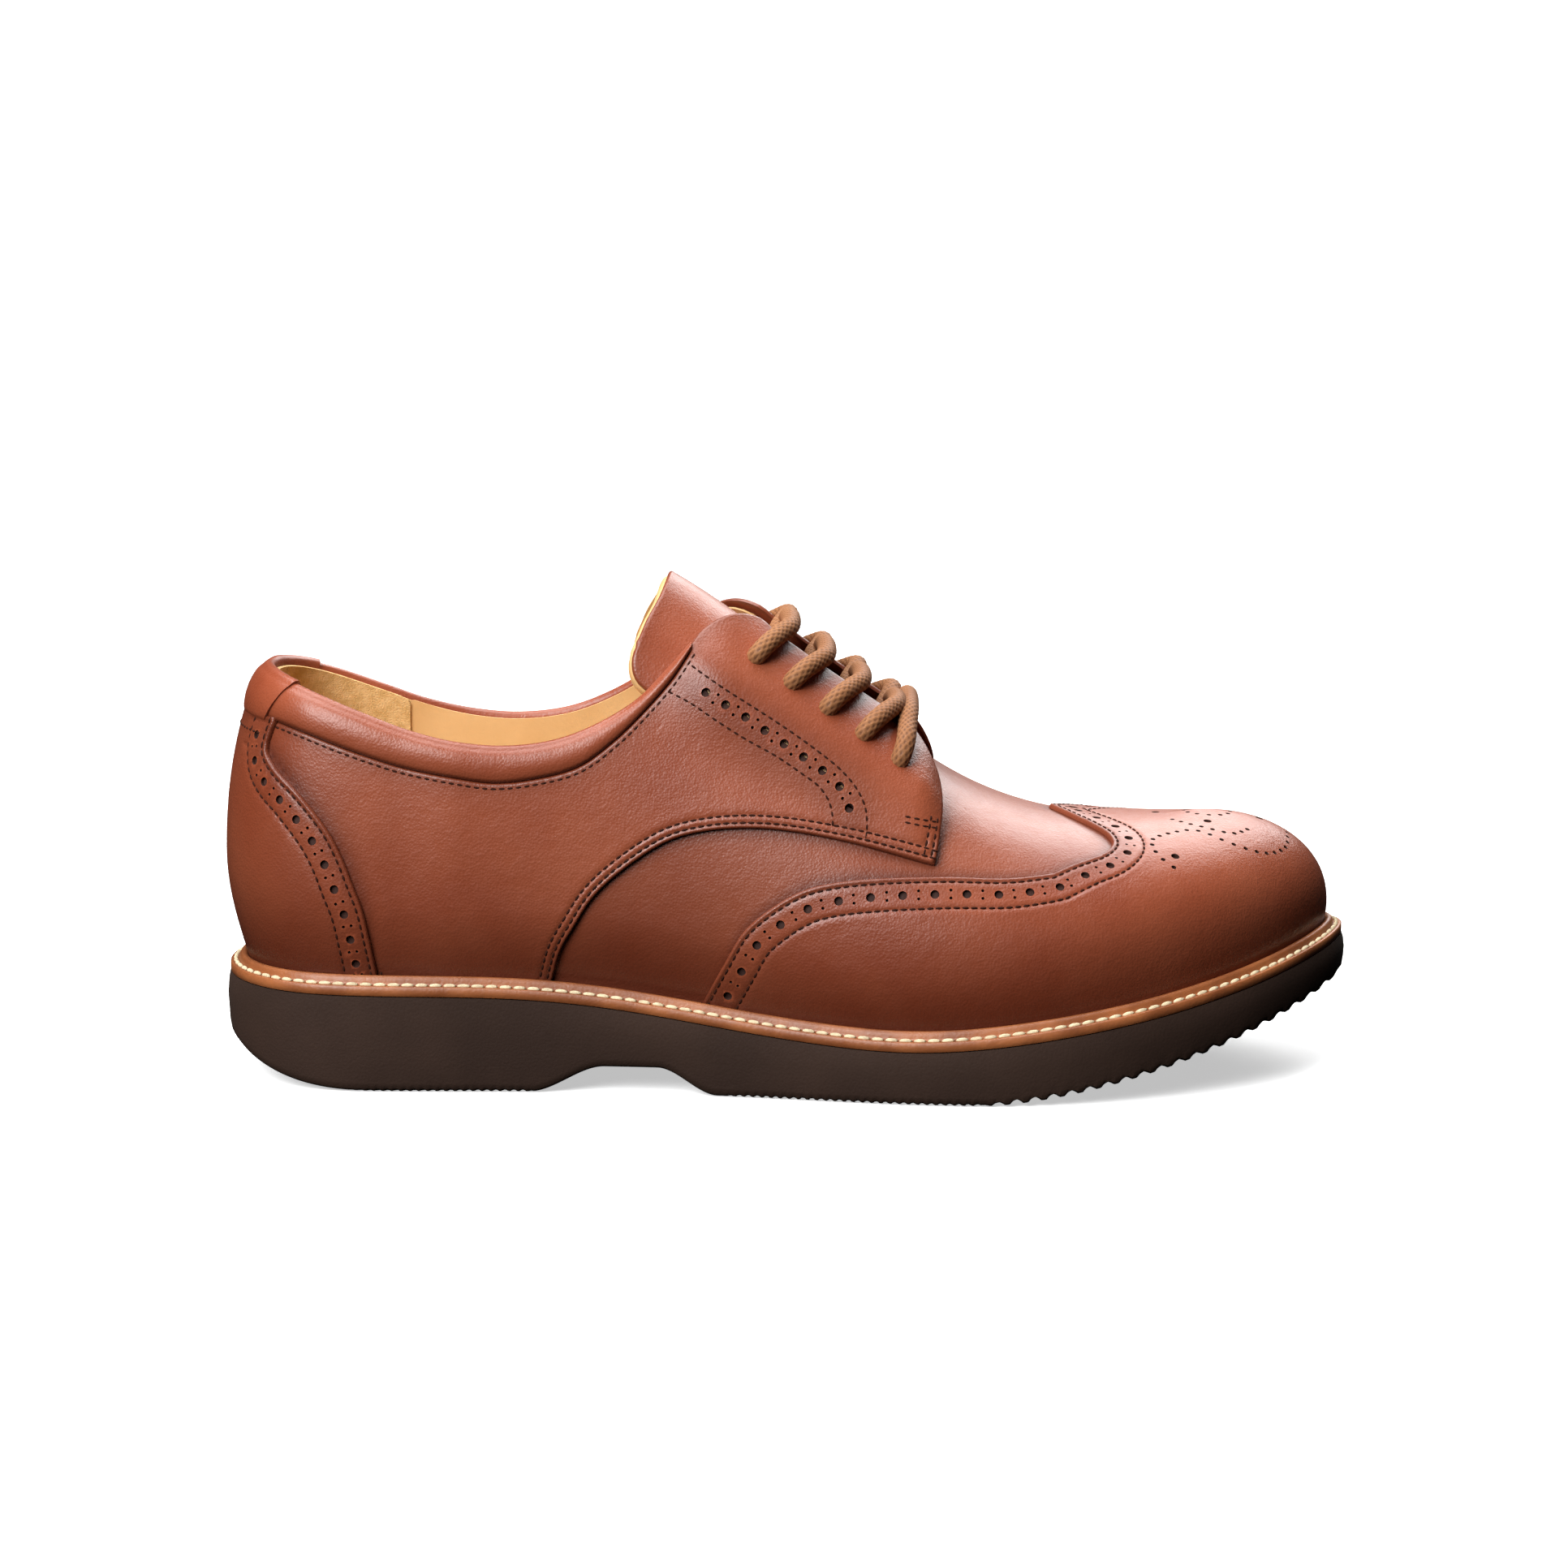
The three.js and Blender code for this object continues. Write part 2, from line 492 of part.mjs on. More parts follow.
function buildTongue() {
  const sink = (depth) => (point, row) => -depth - 3.4 * (1 - ease(Math.max(row, 0), 0.52, 0.72));
  const plies = [
    ["tongue", TONGUE_DEPTH, LEATHER - 0.1, DARK_TAN],
    ["tongue_foam", TONGUE_DEPTH + LEATHER + PLY_GAP - 0.1, TONGUE_FOAM, FOAM],
    ["tongue_lining", TONGUE_DEPTH + LEATHER + TONGUE_FOAM + 2 * PLY_GAP - 0.1, LINING - 0.1, NATURAL],
  ];
  plies.forEach(([name, depth, thickness, look], i) => {
    const inset = i === 1 ? 3 : 0;
    const outline = [
      [TONGUE.base - inset, 84 + inset], [TONGUE.base - inset, 120], [150, 150],
      [TONGUE.top[0] + inset, TONGUE.top[1]], [TONGUE.flank[0] + inset, TONGUE.flank[1]],
      [115 + inset, 105 + inset], [135, 97 + inset], [160, 87 + inset],
    ];
    const layer = shell(sink(depth + thickness), sink(depth), ROWS.slice(2));
    addPiece(name, layer.intersect(sidePrism(outline)), look);
  });
}

// ---------- eyelets and lace ----------
// A point of the quarters' outer face and the direction straight out of the leather there.
function quarterFrame(v, t) {
  const at = (a, b) => {
    const base = lastPoint(a, b);
    return base.clone().addScaledVector(lastNormal(a, b), quarterOffset(0)(base, b));
  };
  const point = at(v, t);
  const medial = v > 1;
  const toe = at(v + (medial ? -0.01 : 0.01), t).sub(point).normalize();
  const inward = at(v, t + 0.01).sub(point).normalize();
  const out = medial ? inward.cross(toe).normalize() : toe.cross(inward).normalize();
  return { point, out };
}

// The station and height on the last whose quarter face shows at (x, z) on the side elevation.
function findOnQuarter(x, z, side) {
  const mirror = side === "medial";
  let [w, t] = [0.5, 0.7];
  const miss = (a, b) => {
    const { point } = quarterFrame(mirror ? 2 - a : a, b);
    return [point.x - gx(x), point.z - z - raise];
  };
  for (let round = 0; round < 12; round++) {
    const step = 1e-3;
    const [m0, mw, mt] = [miss(w, t), miss(w + step, t), miss(w, t + step)];
    const [a, b] = [(mw[0] - m0[0]) / step, (mt[0] - m0[0]) / step];
    const [c, d] = [(mw[1] - m0[1]) / step, (mt[1] - m0[1]) / step];
    const det = a * d - b * c;
    w -= clamp((d * m0[0] - b * m0[1]) / det, -0.05, 0.05);
    t = clamp(t - clamp((a * m0[1] - c * m0[0]) / det, -0.08, 0.08), 0.4, 0.97);
  }
  return { ...quarterFrame(mirror ? 2 - w : w, t), side, w, t };
}

const EYELET_ROW = { from: [144.3, 115.2], to: [182.2, 88.4] };

function placeEyelets() {
  const row = (side) =>
    Array.from({ length: EYELET_PAIRS }, (_, k) => {
      const share = k / (EYELET_PAIRS - 1);
      const [x, z] = [0, 1].map((i) => EYELET_ROW.from[i] + (EYELET_ROW.to[i] - EYELET_ROW.from[i]) * share);
      return findOnQuarter(x, z, side);
    });
  return { lateral: row("lateral"), medial: row("medial") };
}

// A round cutter through the leather at an eyelet.
function drill(eyelet, radius) {
  const geometry = new THREE.CylinderGeometry(radius, radius, 9, 8);
  geometry.applyQuaternion(new THREE.Quaternion().setFromUnitVectors(new THREE.Vector3(0, 1, 0), eyelet.out));
  geometry.translate(eyelet.point.x, eyelet.point.y, eyelet.point.z);
  return manifoldOf(geometry);
}

// Each ring is cut from a thin layer behind the leather, so that it follows the facing's curve.
function buildEyeletRings(eyelets) {
  const depth = LEATHER + PLY_GAP;
  const backing = shell(quarterOffset(depth + EYELET_RING), quarterOffset(depth));
  const hole = LACE / 2 + LACE_CLEARANCE;
  for (const side of ["lateral", "medial"]) {
    eyelets[side].forEach((eyelet, k) => {
      const disc = keepLargest(backing.intersect(drill(eyelet, hole + EYELET_RIM)));
      addPiece(`eyelet_${side}_${k + 1}`, disc.subtract(drill(eyelet, hole)), BRASS);
    });
  }
}

// A place over the last on one side of the shoe: station w, share t of the profile, height above.
function place(side, w, t, height) {
  const v = side === "medial" ? 2 - w : w;
  return lastPoint(v, t).addScaledVector(lastNormal(v, t), height);
}

// Height of a quarter's outer face above the last.
function faceHeight(side, w, t) {
  const v = side === "medial" ? 2 - w : w;
  return quarterOffset(0)(lastPoint(v, t), t);
}

// The share of the profile at which a facing's edge lies, found by halving.
function facingEdge(side, w) {
  const edge = facingPlan(side, 0).slice(0, -2);
  const inside = (t) => {
    const p = place(side, w, t, faceHeight(side, w, t));
    const i = edge.findIndex(([x]) => gx(x) > p.x);
    const y = gy(edge[Math.max(i, 0)][1]);
    return side === "medial" ? p.y > y : p.y < y;
  };
  let [low, high] = [0.5, 1];
  for (let round = 0; round < 20; round++) {
    const middle = (low + high) / 2;
    if (inside(middle)) low = middle;
    else high = middle;
  }
  return low;
}

const OVER = LACE / 2 + 1.2; // lace above the facing
const LACE_BED = LACE / 2 + 0.5; // lace under the facing, above the last, resting by the tongue
const TAIL_OUTBOARD = 0.036; // how far outboard of the eyelets the lace's tails lie

// One crossing: out of an eyelet, over its own facing, down into the gap and under the other.
function crossing(from, to, high) {
  const step = to.w - from.w;
  const [edgeFrom, edgeTo] = [facingEdge(from.side, from.w), facingEdge(to.side, to.w)];
  const over = (share, along, extra) => {
    const t = from.t + (edgeFrom - from.t) * share;
    const w = from.w + step * along;
    return place(from.side, w, t, faceHeight(from.side, w, t) + OVER + extra);
  };
  const under = (share, along) => place(to.side, from.w + step * along, to.t + (edgeTo - to.t) * share, LACE_BED);
  return [
    place(from.side, from.w, from.t, faceHeight(from.side, from.w, from.t) + 0.8), over(0.16, 0.04, 0.1), over(0.55, 0.2, 0.2),
    over(1.02, 0.36, 0), place(from.side, from.w + step * 0.5, 1, high ? LACE_BED + LACE + 0.7 : LACE_BED),
    under(1.1, 0.68), under(0.5, 0.86), under(0.08, 1), place(to.side, to.w, to.t, LACE_BED + 1.9),
  ];
}

// Where one end of the lace lies once it has gone in through the top eyelet: turned back
// outboard and tucked forward between facing and tongue.
function tail(row) {
  const first = row[0];
  const { side } = first;
  const lie = (k, outboard) => place(side, row[k].w, row[k].t - outboard, LACE_BED - 0.4);
  return [
    place(side, first.w, first.t, faceHeight(side, first.w, first.t)), place(side, first.w, first.t, LACE_BED + 4),
    place(side, first.w, first.t, LACE_BED + 1.8), place(side, first.w + 0.001, first.t - TAIL_OUTBOARD * 0.08, LACE_BED + 0.2),
    place(side, first.w + 0.006, first.t - TAIL_OUTBOARD * 0.5, LACE_BED - 0.4),
    place(side, first.w + 0.014, first.t - TAIL_OUTBOARD, LACE_BED - 0.4), lie(1, TAIL_OUTBOARD), lie(2, TAIL_OUTBOARD),
    lie(3, TAIL_OUTBOARD),
  ];
}

function laceRoute(eyelets) {
  const last = EYELET_PAIRS - 1;
  const half = (side) => {
    const sides = side === "lateral" ? ["lateral", "medial"] : ["medial", "lateral"];
    const points = tail(eyelets[side]).reverse();
    points.pop();
    for (let k = 0; k < last; k++) {
      const [from, to] = [eyelets[sides[k % 2]][k], eyelets[sides[(k + 1) % 2]][k + 1]];
      points.push(...crossing(from, to, from.side === "lateral"));
    }
    return points;
  };
  const bar = ({ side, w, t }) => {
    const edge = facingEdge(side, w);
    const over = (share) => place(side, w, t + (edge - t) * share, faceHeight(side, w, t + (edge - t) * share) + OVER);
    return [place(side, w, t, faceHeight(side, w, t) + 0.8), over(0.16), over(0.55), over(1)];
  };
  const ends = ["lateral", "medial"].map((side) => bar(eyelets[side][last]));
  const toLateral = half(last % 2 ? "medial" : "lateral");
  const toMedial = half(last % 2 ? "lateral" : "medial");
  return [...toLateral, ...ends[0], ...ends[1].reverse(), ...toMedial.reverse()];
}

function tube(points, radius, sides, steps) {
  const ring = Array.from({ length: sides }, (_, i) => (i / sides) * Math.PI * 2);
  const shape = new THREE.Shape(ring.map((a) => new THREE.Vector2(Math.cos(a) * radius, Math.sin(a) * radius)));
  const path = new THREE.CatmullRomCurve3(points, false, "centripetal");
  return manifoldOf(new THREE.ExtrudeGeometry(shape, { steps, bevelEnabled: false, extrudePath: path }));
}

function buildLace(eyelets) {
  const route = laceRoute(eyelets);
  addPiece("lace", tube(route, LACE / 2, 8, 110), COTTON);
  [[route[0], route[1], "lateral"], [route.at(-1), route.at(-2), "medial"]].forEach(([end, before, side]) => {
    const away = end.clone().sub(before).normalize();
    const from = end.clone().addScaledVector(away, PLY_GAP);
    const to = from.clone().addScaledVector(away, AGLET_LENGTH);
    addPiece("aglet_" + side, tube([from, from.clone().lerp(to, 0.5), to], LACE / 2 - 0.4, 6, 1), BRASS);
  });
}

// ---------- the bottom ----------
// The feather line moved outwards by a distance, as matched pairs of points at the same x.
function outline(offset, count) {
  const samples = Array.from({ length: 401 }, (_, i) => (i / 400) * 2).map((v) => {
    const at = (s) => {
      const p = loop(((s % 2) + 2) % 2);
      return new THREE.Vector2(p[3], p[4]);
    };
    const along = at(v + 0.003).sub(at(v - 0.003)).normalize();
    return at(v).add(new THREE.Vector2(along.y, -along.x).multiplyScalar(offset));
  });
  const tip = samples.reduce((a, b) => (b.x > a.x ? b : a));
  const heel = samples.reduce((a, b) => (b.x < a.x ? b : a));
  const yAt = (x, medial) => {
    const chain = samples.filter((_, i) => (medial ? i >= 200 : i <= 200)).sort((a, b) => a.x - b.x);
    let i = 0;
    while (i < chain.length - 2 && chain[i + 1].x < x) i++;
    const [a, b] = [chain[i], chain[i + 1]];
    return a.y + ((b.y - a.y) * (x - a.x)) / (b.x - a.x);
  };
  return Array.from({ length: count + 1 }, (_, i) => {
    if (i === 0) return { x: heel.x, low: heel.y, high: heel.y };
    if (i === count) return { x: tip.x, low: tip.y, high: tip.y };
    const x = heel.x + ((tip.x - heel.x) * (1 - Math.cos((Math.PI * i) / count))) / 2;
    return { x, low: yAt(x, false), high: yAt(x, true) };
  });
}

// A slab through several levels, each an outline offset with its height over x, bottom first.
function slab(levels, count = 22) {
  const rings = levels.map(({ offset, height }) => outline(offset, count).map(({ x, low, high }) => ({
    low: new THREE.Vector3(x, low, height(x)),
    high: new THREE.Vector3(x, high, height(x)),
  })));
  const faces = [];
  const cap = (ring, up) => {
    for (let i = 0; i < count; i++) {
      const quad = [ring[i].low, ring[i + 1].low, ring[i + 1].high, ring[i].high];
      faces.push(up ? quad : quad.reverse());
    }
  };
  cap(rings[0], false);
  cap(rings.at(-1), true);
  for (let k = 0; k < rings.length - 1; k++) {
    for (let i = 0; i < count; i++) {
      const [a, b] = [rings[k], rings[k + 1]];
      faces.push([a[i].low, a[i + 1].low, b[i + 1].low], [a[i].low, b[i + 1].low, b[i].low]);
      faces.push([a[i + 1].high, a[i].high, b[i].high], [a[i + 1].high, b[i].high, b[i + 1].high]);
    }
  }
  return solidOfFaces(faces);
}

// A band that follows the feather line, from a section of [offset, height above the sole] corners.
function ringBand(section) {
  const columns = [...COLUMNS, ...COLUMNS.slice(1, -1).reverse().map((w) => 2 - w)];
  const ring = columns.map((v) => section.map(([offset, height]) => {
    const [, , , x, y] = loop(v);
    const [, , , x2, y2] = loop((v + 0.003) % 2);
    const along = new THREE.Vector2(x2 - x, y2 - y).normalize();
    const point = new THREE.Vector3(x + along.y * offset, y - along.x * offset, 0);
    point.z = soleTop(point.x) + height;
    return point;
  }));
  const faces = [];
  ring.forEach((here, i) => {
    const next = ring[(i + 1) % ring.length];
    here.forEach((corner, j) => {
      const k = (j + 1) % here.length;
      faces.push([corner, next[j], next[k]], [corner, next[k], here[k]]);
    });
  });
  return solidOfFaces(faces);
}

const WELT_INNER = PLY_GAP + LEATHER + 0.45; // the welt starts just outside the overlays
const MARGIN_TOP = MARGIN_RISE + LINING_IN; // top of the turned lining
const BOARD_BOTTOM = MARGIN_TOP + PLY_GAP + 0.2;
const FOAM_BOTTOM = BOARD_BOTTOM + INSOLE + PLY_GAP;
const COVER_BOTTOM = FOAM_BOTTOM + FOOTBED_FOAM + PLY_GAP;
const FOOTBED_TOP = COVER_BOTTOM + FOOTBED_COVER;
const INSIDE = -(LINING_IN + 1.4); // an edge that clears the lining's inner face

function buildOutsole() {
  const top = (x) => soleTop(x);
  const bottom = (x) => treadHeight(x);
  const between = (share) => (x) => bottom(x) + (top(x) - bottom(x)) * share;
  let sole = slab([
    { offset: WELT_WIDTH - 3.2, height: bottom },
    { offset: WELT_WIDTH - 0.6, height: (x) => bottom(x) + 1.4 },
    { offset: WELT_WIDTH + SOLE_FLARE / 2, height: between(0.3) },
    { offset: WELT_WIDTH + SOLE_FLARE, height: between(0.6) },
    { offset: WELT_WIDTH, height: top },
  ], 26);
  const grooves = [];
  for (let x = TREAD_PITCH * 1.5; x < SAMPLE.length - TREAD_PITCH; x += TREAD_PITCH) {
    if (x < ARCH.from - TREAD_PITCH / 2 || x > ARCH.to + TREAD_PITCH / 2) grooves.push(x);
  }
  for (const x of grooves) {
    const groove = new THREE.BoxGeometry(TREAD_GROOVE_WIDTH, 300, 2 * TREAD_GROOVE);
    const rise = (treadHeight(gx(x) + 1) - treadHeight(gx(x) - 1)) / 2;
    groove.rotateY(-Math.atan(rise));
    groove.translate(gx(x), 0, treadHeight(gx(x)));
    sole = sole.subtract(manifoldOf(groove));
  }
  addPiece("outsole", sole, RUBBER);
}

function buildBottomParts() {
  const bead = WELT_EDGE + WELT_BEAD;
  addPiece("welt", ringBand([
    [WELT_INNER, PLY_GAP], [WELT_WIDTH, PLY_GAP], [WELT_WIDTH, WELT_EDGE - 0.2], [WELT_WIDTH - 0.3, WELT_EDGE],
    [WELT_INNER + 2.2, WELT_EDGE], [WELT_INNER + 1.7, bead - 0.5], [WELT_INNER + 0.9, bead], [WELT_INNER, bead - 0.4],
  ]), DARK_TAN);
  const threadAt = [WELT_INNER + 2.2 + PLY_GAP + WELT_THREAD / 2, WELT_EDGE + PLY_GAP + WELT_THREAD / 2];
  const corners = [[-1, 0], [0, -1], [1, 0], [0, 1]];
  addPiece("welt_thread", ringBand(corners.map(([a, b]) => [
    threadAt[0] + (a * WELT_THREAD) / 2, threadAt[1] + (b * WELT_THREAD) / 2,
  ])), THREAD);
  const above = (height) => (x) => soleTop(x) + height;
  const plate = (offset, low, high) => slab([{ offset, height: above(low) }, { offset, height: above(high) }], 20);
  const shankBottom = MARGIN_TOP - SHANK_THICKNESS - 0.1;
  addPiece("cork_filler", plate(-MARGIN - 2.4, PLY_GAP, shankBottom - PLY_GAP), BOARD);
  const shankFrom = 118 - SHANK_LENGTH / 2;
  const strip = planPrism([0, 1].flatMap((end) => {
    const x = shankFrom + end * SHANK_LENGTH;
    const y = [SHANK_WIDTH / -2, SHANK_WIDTH / 2];
    return (end ? y.reverse() : y).map((edge) => [x, edge]);
  }));
  addPiece("shank", plate(-MARGIN - 2.4, shankBottom, MARGIN_TOP - 0.1).intersect(strip), STEEL);
  addPiece("insole_board", plate(INSIDE, BOARD_BOTTOM, BOARD_BOTTOM + INSOLE), BOARD);
  addPiece("footbed_foam", plate(INSIDE, FOAM_BOTTOM, FOAM_BOTTOM + FOOTBED_FOAM), FOAM);
  addPiece("footbed_cover", plate(INSIDE, COVER_BOTTOM, FOOTBED_TOP), NATURAL);
}

// ---------- assembly ----------
const eyelets = placeEyelets();
buildOutsole();
buildBottomParts();
buildBaseLayer();
buildWingtip();
buildQuarters(eyelets);
buildCounter();
buildCollar();
buildLinings(eyelets);
buildTongue();
buildEyeletRings(eyelets);
buildLace(eyelets);

const shoe = new THREE.Group();
for (const [name, { solid, look }] of pieces) {
  const mesh = new THREE.Mesh(geometryOf(solid), new THREE.MeshStandardMaterial(look));
  mesh.name = name;
  shoe.add(mesh);
}
const box = new THREE.Box3().setFromObject(shoe);
shoe.position.set(-(box.min.x + box.max.x) / 2, -(box.min.y + box.max.y) / 2, -box.min.z);

export default shoe;
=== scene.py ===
# A right-foot leather wingtip derby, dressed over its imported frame.
import math
import bpy
import numpy as np
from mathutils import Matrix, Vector


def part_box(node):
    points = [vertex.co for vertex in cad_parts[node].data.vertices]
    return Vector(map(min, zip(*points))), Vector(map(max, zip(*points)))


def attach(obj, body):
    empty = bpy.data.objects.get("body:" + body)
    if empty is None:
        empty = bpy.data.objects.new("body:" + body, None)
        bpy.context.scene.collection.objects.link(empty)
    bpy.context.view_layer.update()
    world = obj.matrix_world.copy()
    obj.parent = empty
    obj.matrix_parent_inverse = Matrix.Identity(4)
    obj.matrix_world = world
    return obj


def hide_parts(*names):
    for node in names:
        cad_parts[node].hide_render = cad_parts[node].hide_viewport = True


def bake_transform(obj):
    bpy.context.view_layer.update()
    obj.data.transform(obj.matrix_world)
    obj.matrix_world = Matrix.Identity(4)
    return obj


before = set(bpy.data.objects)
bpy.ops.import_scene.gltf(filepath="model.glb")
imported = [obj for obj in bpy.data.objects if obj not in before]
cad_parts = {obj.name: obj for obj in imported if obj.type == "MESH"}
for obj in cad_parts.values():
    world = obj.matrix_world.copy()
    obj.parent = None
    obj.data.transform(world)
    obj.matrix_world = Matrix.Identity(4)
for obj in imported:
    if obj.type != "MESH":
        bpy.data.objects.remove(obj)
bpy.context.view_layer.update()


# ---------------------------------------------------------------- camera, floor and light
# The shoe stands on a plain pale floor under broad soft lights, seen from its outer side.
def aim(obj, target):
    """Turns a camera or a lamp to face a point."""
    obj.rotation_euler = (Vector(target) - obj.location).to_track_quat("-Z", "Y").to_euler()


CAMERA_DISTANCE = 1.10
CAMERA_RISE = math.radians(8.5)
CAMERA_LENS = 92.7
SKY_RAMP = {"From Min": -0.35, "From Max": 0.9, "To Min": 0.10, "To Max": 0.75}
camera_target = Vector((-0.0012, 0.0023, 0.0770))
camera = bpy.data.objects.new("camera", bpy.data.cameras.new("camera"))
camera.data.lens = CAMERA_LENS
camera.location = camera_target + CAMERA_DISTANCE * Vector((0, -math.cos(CAMERA_RISE), math.sin(CAMERA_RISE)))
aim(camera, camera_target)
bpy.context.collection.objects.link(camera)
bpy.context.scene.camera = camera
bpy.context.scene.view_settings.view_transform = "Standard"

world = bpy.data.worlds.new("studio")
world.use_nodes = True
sky_at = world.node_tree.nodes.new("ShaderNodeTexCoord")
sky_split = world.node_tree.nodes.new("ShaderNodeSeparateXYZ")
sky_rise = world.node_tree.nodes.new("ShaderNodeMapRange")
for socket, value in SKY_RAMP.items():
    sky_rise.inputs[socket].default_value = value
world.node_tree.links.new(sky_at.outputs["Generated"], sky_split.inputs[0])
world.node_tree.links.new(sky_split.outputs["Z"], sky_rise.inputs["Value"])
world.node_tree.links.new(sky_rise.outputs["Result"], world.node_tree.nodes["Background"].inputs["Strength"])
bpy.context.scene.world = world
for lamp_name, place, size, watts in (
    ("softbox_over", (-0.20, 0.05, 1.15), 1.0, 20),
    ("softbox_front", (-0.75, -1.15, 0.95), 0.9, 36),
    ("strip_behind", (0.35, 0.80, 0.75), 0.7, 9),
):
    lamp = bpy.data.objects.new(lamp_name, bpy.data.lights.new(lamp_name, "AREA"))
    lamp.data.size = size
    lamp.data.energy = watts
    lamp.location = place
    aim(lamp, (0, 0, 0.05))
    bpy.context.collection.objects.link(lamp)

FLOOR_RADIUS = 1.25
COVE_RADIUS = 0.6
WALL_HEIGHT = 5.0
FLOOR_SIDES = 64
cove = [(FLOOR_RADIUS, 0.0)]
cove += [(FLOOR_RADIUS + COVE_RADIUS * math.sin(a / 8), COVE_RADIUS - COVE_RADIUS * math.cos(a / 8))
         for a in range(1, 13)]
cove += [(FLOOR_RADIUS + COVE_RADIUS, WALL_HEIGHT)]
turns = [2 * math.pi * k / FLOOR_SIDES for k in range(FLOOR_SIDES)]
floor_points = [(r * math.cos(a), r * math.sin(a), z) for r, z in cove for a in turns]
floor_faces = [tuple(range(FLOOR_SIDES))]
floor_faces += [(FLOOR_SIDES * i + (k + 1) % FLOOR_SIDES, FLOOR_SIDES * i + k,
                 FLOOR_SIDES * (i + 1) + k, FLOOR_SIDES * (i + 1) + (k + 1) % FLOOR_SIDES)
                for i in range(len(cove) - 1) for k in range(FLOOR_SIDES)]
floor_mesh = bpy.data.meshes.new("floor")
floor_mesh.from_pydata(floor_points, [], floor_faces)
floor_mesh.shade_smooth()
floor = bpy.data.objects.new("floor", floor_mesh)
bpy.context.collection.objects.link(floor)
for paint_name, glow in (("floor_paint", 0.52), ("wall_paint", 0.95)):
    paint = bpy.data.materials.new(paint_name)
    paint.use_nodes = True
    for socket, value in (("Base Color", (0.93, 0.93, 0.93, 1)), ("Roughness", 0.8),
                          ("Emission Color", (1, 1, 1, 1)), ("Emission Strength", glow)):
        paint.node_tree.nodes["Principled BSDF"].inputs[socket].default_value = value
    floor_mesh.materials.append(paint)
for face in floor_mesh.polygons[1:]:
    face.material_index = 1
floor.visible_diffuse = False
floor.visible_glossy = False
floor.visible_shadow = False


# ---------------------------------------------------------------- outsole
# One moulded rubber unit: a bevelled heel, a hollow waist, a lifted toe, and a tread cut
# across with fine ripples under heel and ball and coarser lugs up the toe. Cemented to the welt.
def spline(knots, rows):
    """A natural cubic spline through rows, as a function of the knot value."""
    t, y = np.asarray(knots, float), np.asarray(rows, float)
    n, h = len(t), np.diff(t)
    a, b = np.zeros((n, n)), np.zeros_like(y)
    a[0, 0] = a[-1, -1] = 1
    for i in range(1, n - 1):
        a[i, i - 1], a[i, i], a[i, i + 1] = h[i - 1], 2 * (h[i - 1] + h[i]), h[i]
        b[i] = 6 * ((y[i + 1] - y[i]) / h[i] - (y[i] - y[i - 1]) / h[i - 1])
    m = np.linalg.solve(a, b)

    def at(x):
        x = np.asarray(x, float)
        i = np.clip(np.searchsorted(t, x) - 1, 0, n - 2)
        s, p, q = (t[i + 1] - t[i])[..., None], (t[i + 1] - x)[..., None], (x - t[i])[..., None]
        bent = (m[i] * p**3 + m[i + 1] * q**3) / (6 * s)
        return bent + (y[i] / s - m[i] * s / 6) * p + (y[i + 1] / s - m[i + 1] * s / 6) * q

    return at


# Form stations from heel (0) to toe (1): crown x y z, outer and inner foot x y, swell, height
# of the swell and roundness on each side. Millimetres, with the heel near x = 0.
STATIONS = np.array([
    [0.0, 43, 0, 137, 6.6, 0, 6.6, 0, 5.3, 5.3, 28, 28, 2.0, 2.0],
    [0.05, 44, 0, 139, 10, -16.5, 10, 16.5, 5.0, 5.0, 27, 27, 2.0, 2.0],
    [0.1, 47, 0, 146, 21, -28.2, 21, 28.2, 4.6, 4.4, 25, 25, 2.0, 2.0],
    [0.16, 54, 0, 156, 40, -32.8, 40, 32.4, 4.2, 4.0, 22, 23, 2.0, 2.0],
    [0.25, 73, 0.3, 160, 70, -33.3, 70, 31.8, 4.5, 5.5, 20, 22, 2.0, 2.0],
    [0.34, 100, 1, 147, 100, -34.3, 100, 29.5, 4.8, 8.0, 20, 24, 1.95, 2.0],
    [0.43, 130, 2, 130, 130, -37.8, 130, 28.5, 4.6, 9.0, 20, 25, 1.9, 1.95],
    [0.5, 155, 2.5, 111.5, 155, -42.8, 155, 30.5, 4.0, 7.5, 18, 22, 1.9, 1.95],
    [0.58, 180, 3, 92, 180, -48.2, 180, 35.5, 3.2, 4.8, 16, 18, 1.95, 2.0],
    [0.65, 203, 3.5, 77.3, 203, -50.8, 203, 41.5, 2.4, 2.8, 14, 14, 2.1, 2.1],
    [0.71, 223, 4, 70, 224, -50, 224, 45.5, 1.8, 2.0, 12, 12, 2.2, 2.2],
    [0.77, 240, 4.5, 67.4, 244, -45.5, 245, 46, 1.5, 1.6, 11, 11, 2.25, 2.25],
    [0.83, 253, 5, 66.9, 263, -36.5, 265, 42.5, 1.2, 1.3, 9, 9, 2.25, 2.25],
    [0.9, 260, 5.6, 67.3, 280.5, -22.5, 283, 33.5, 0.9, 0.9, 7, 7, 2.2, 2.2],
    [0.96, 264, 6.2, 67.6, 294, -6, 294.5, 21.5, 0.7, 0.7, 6, 6, 2.15, 2.15],
    [1.0, 265, 6.5, 67.7, 299, 8, 299, 8, 0.6, 0.6, 5, 5, 2.15, 2.15],
])
outer_rows = STATIONS[:, [0, 1, 2, 3, 4, 5, 8, 10, 12]]
inner_rows = STATIONS[1:-1][::-1][:, [0, 1, 2, 3, 6, 7, 9, 11, 13]]
inner_rows[:, 0] = 2 - inner_rows[:, 0]
ring_rows = np.vstack([outer_rows, inner_rows])
ring_rows = np.vstack([ring_rows[-4:], ring_rows, ring_rows[:5]])
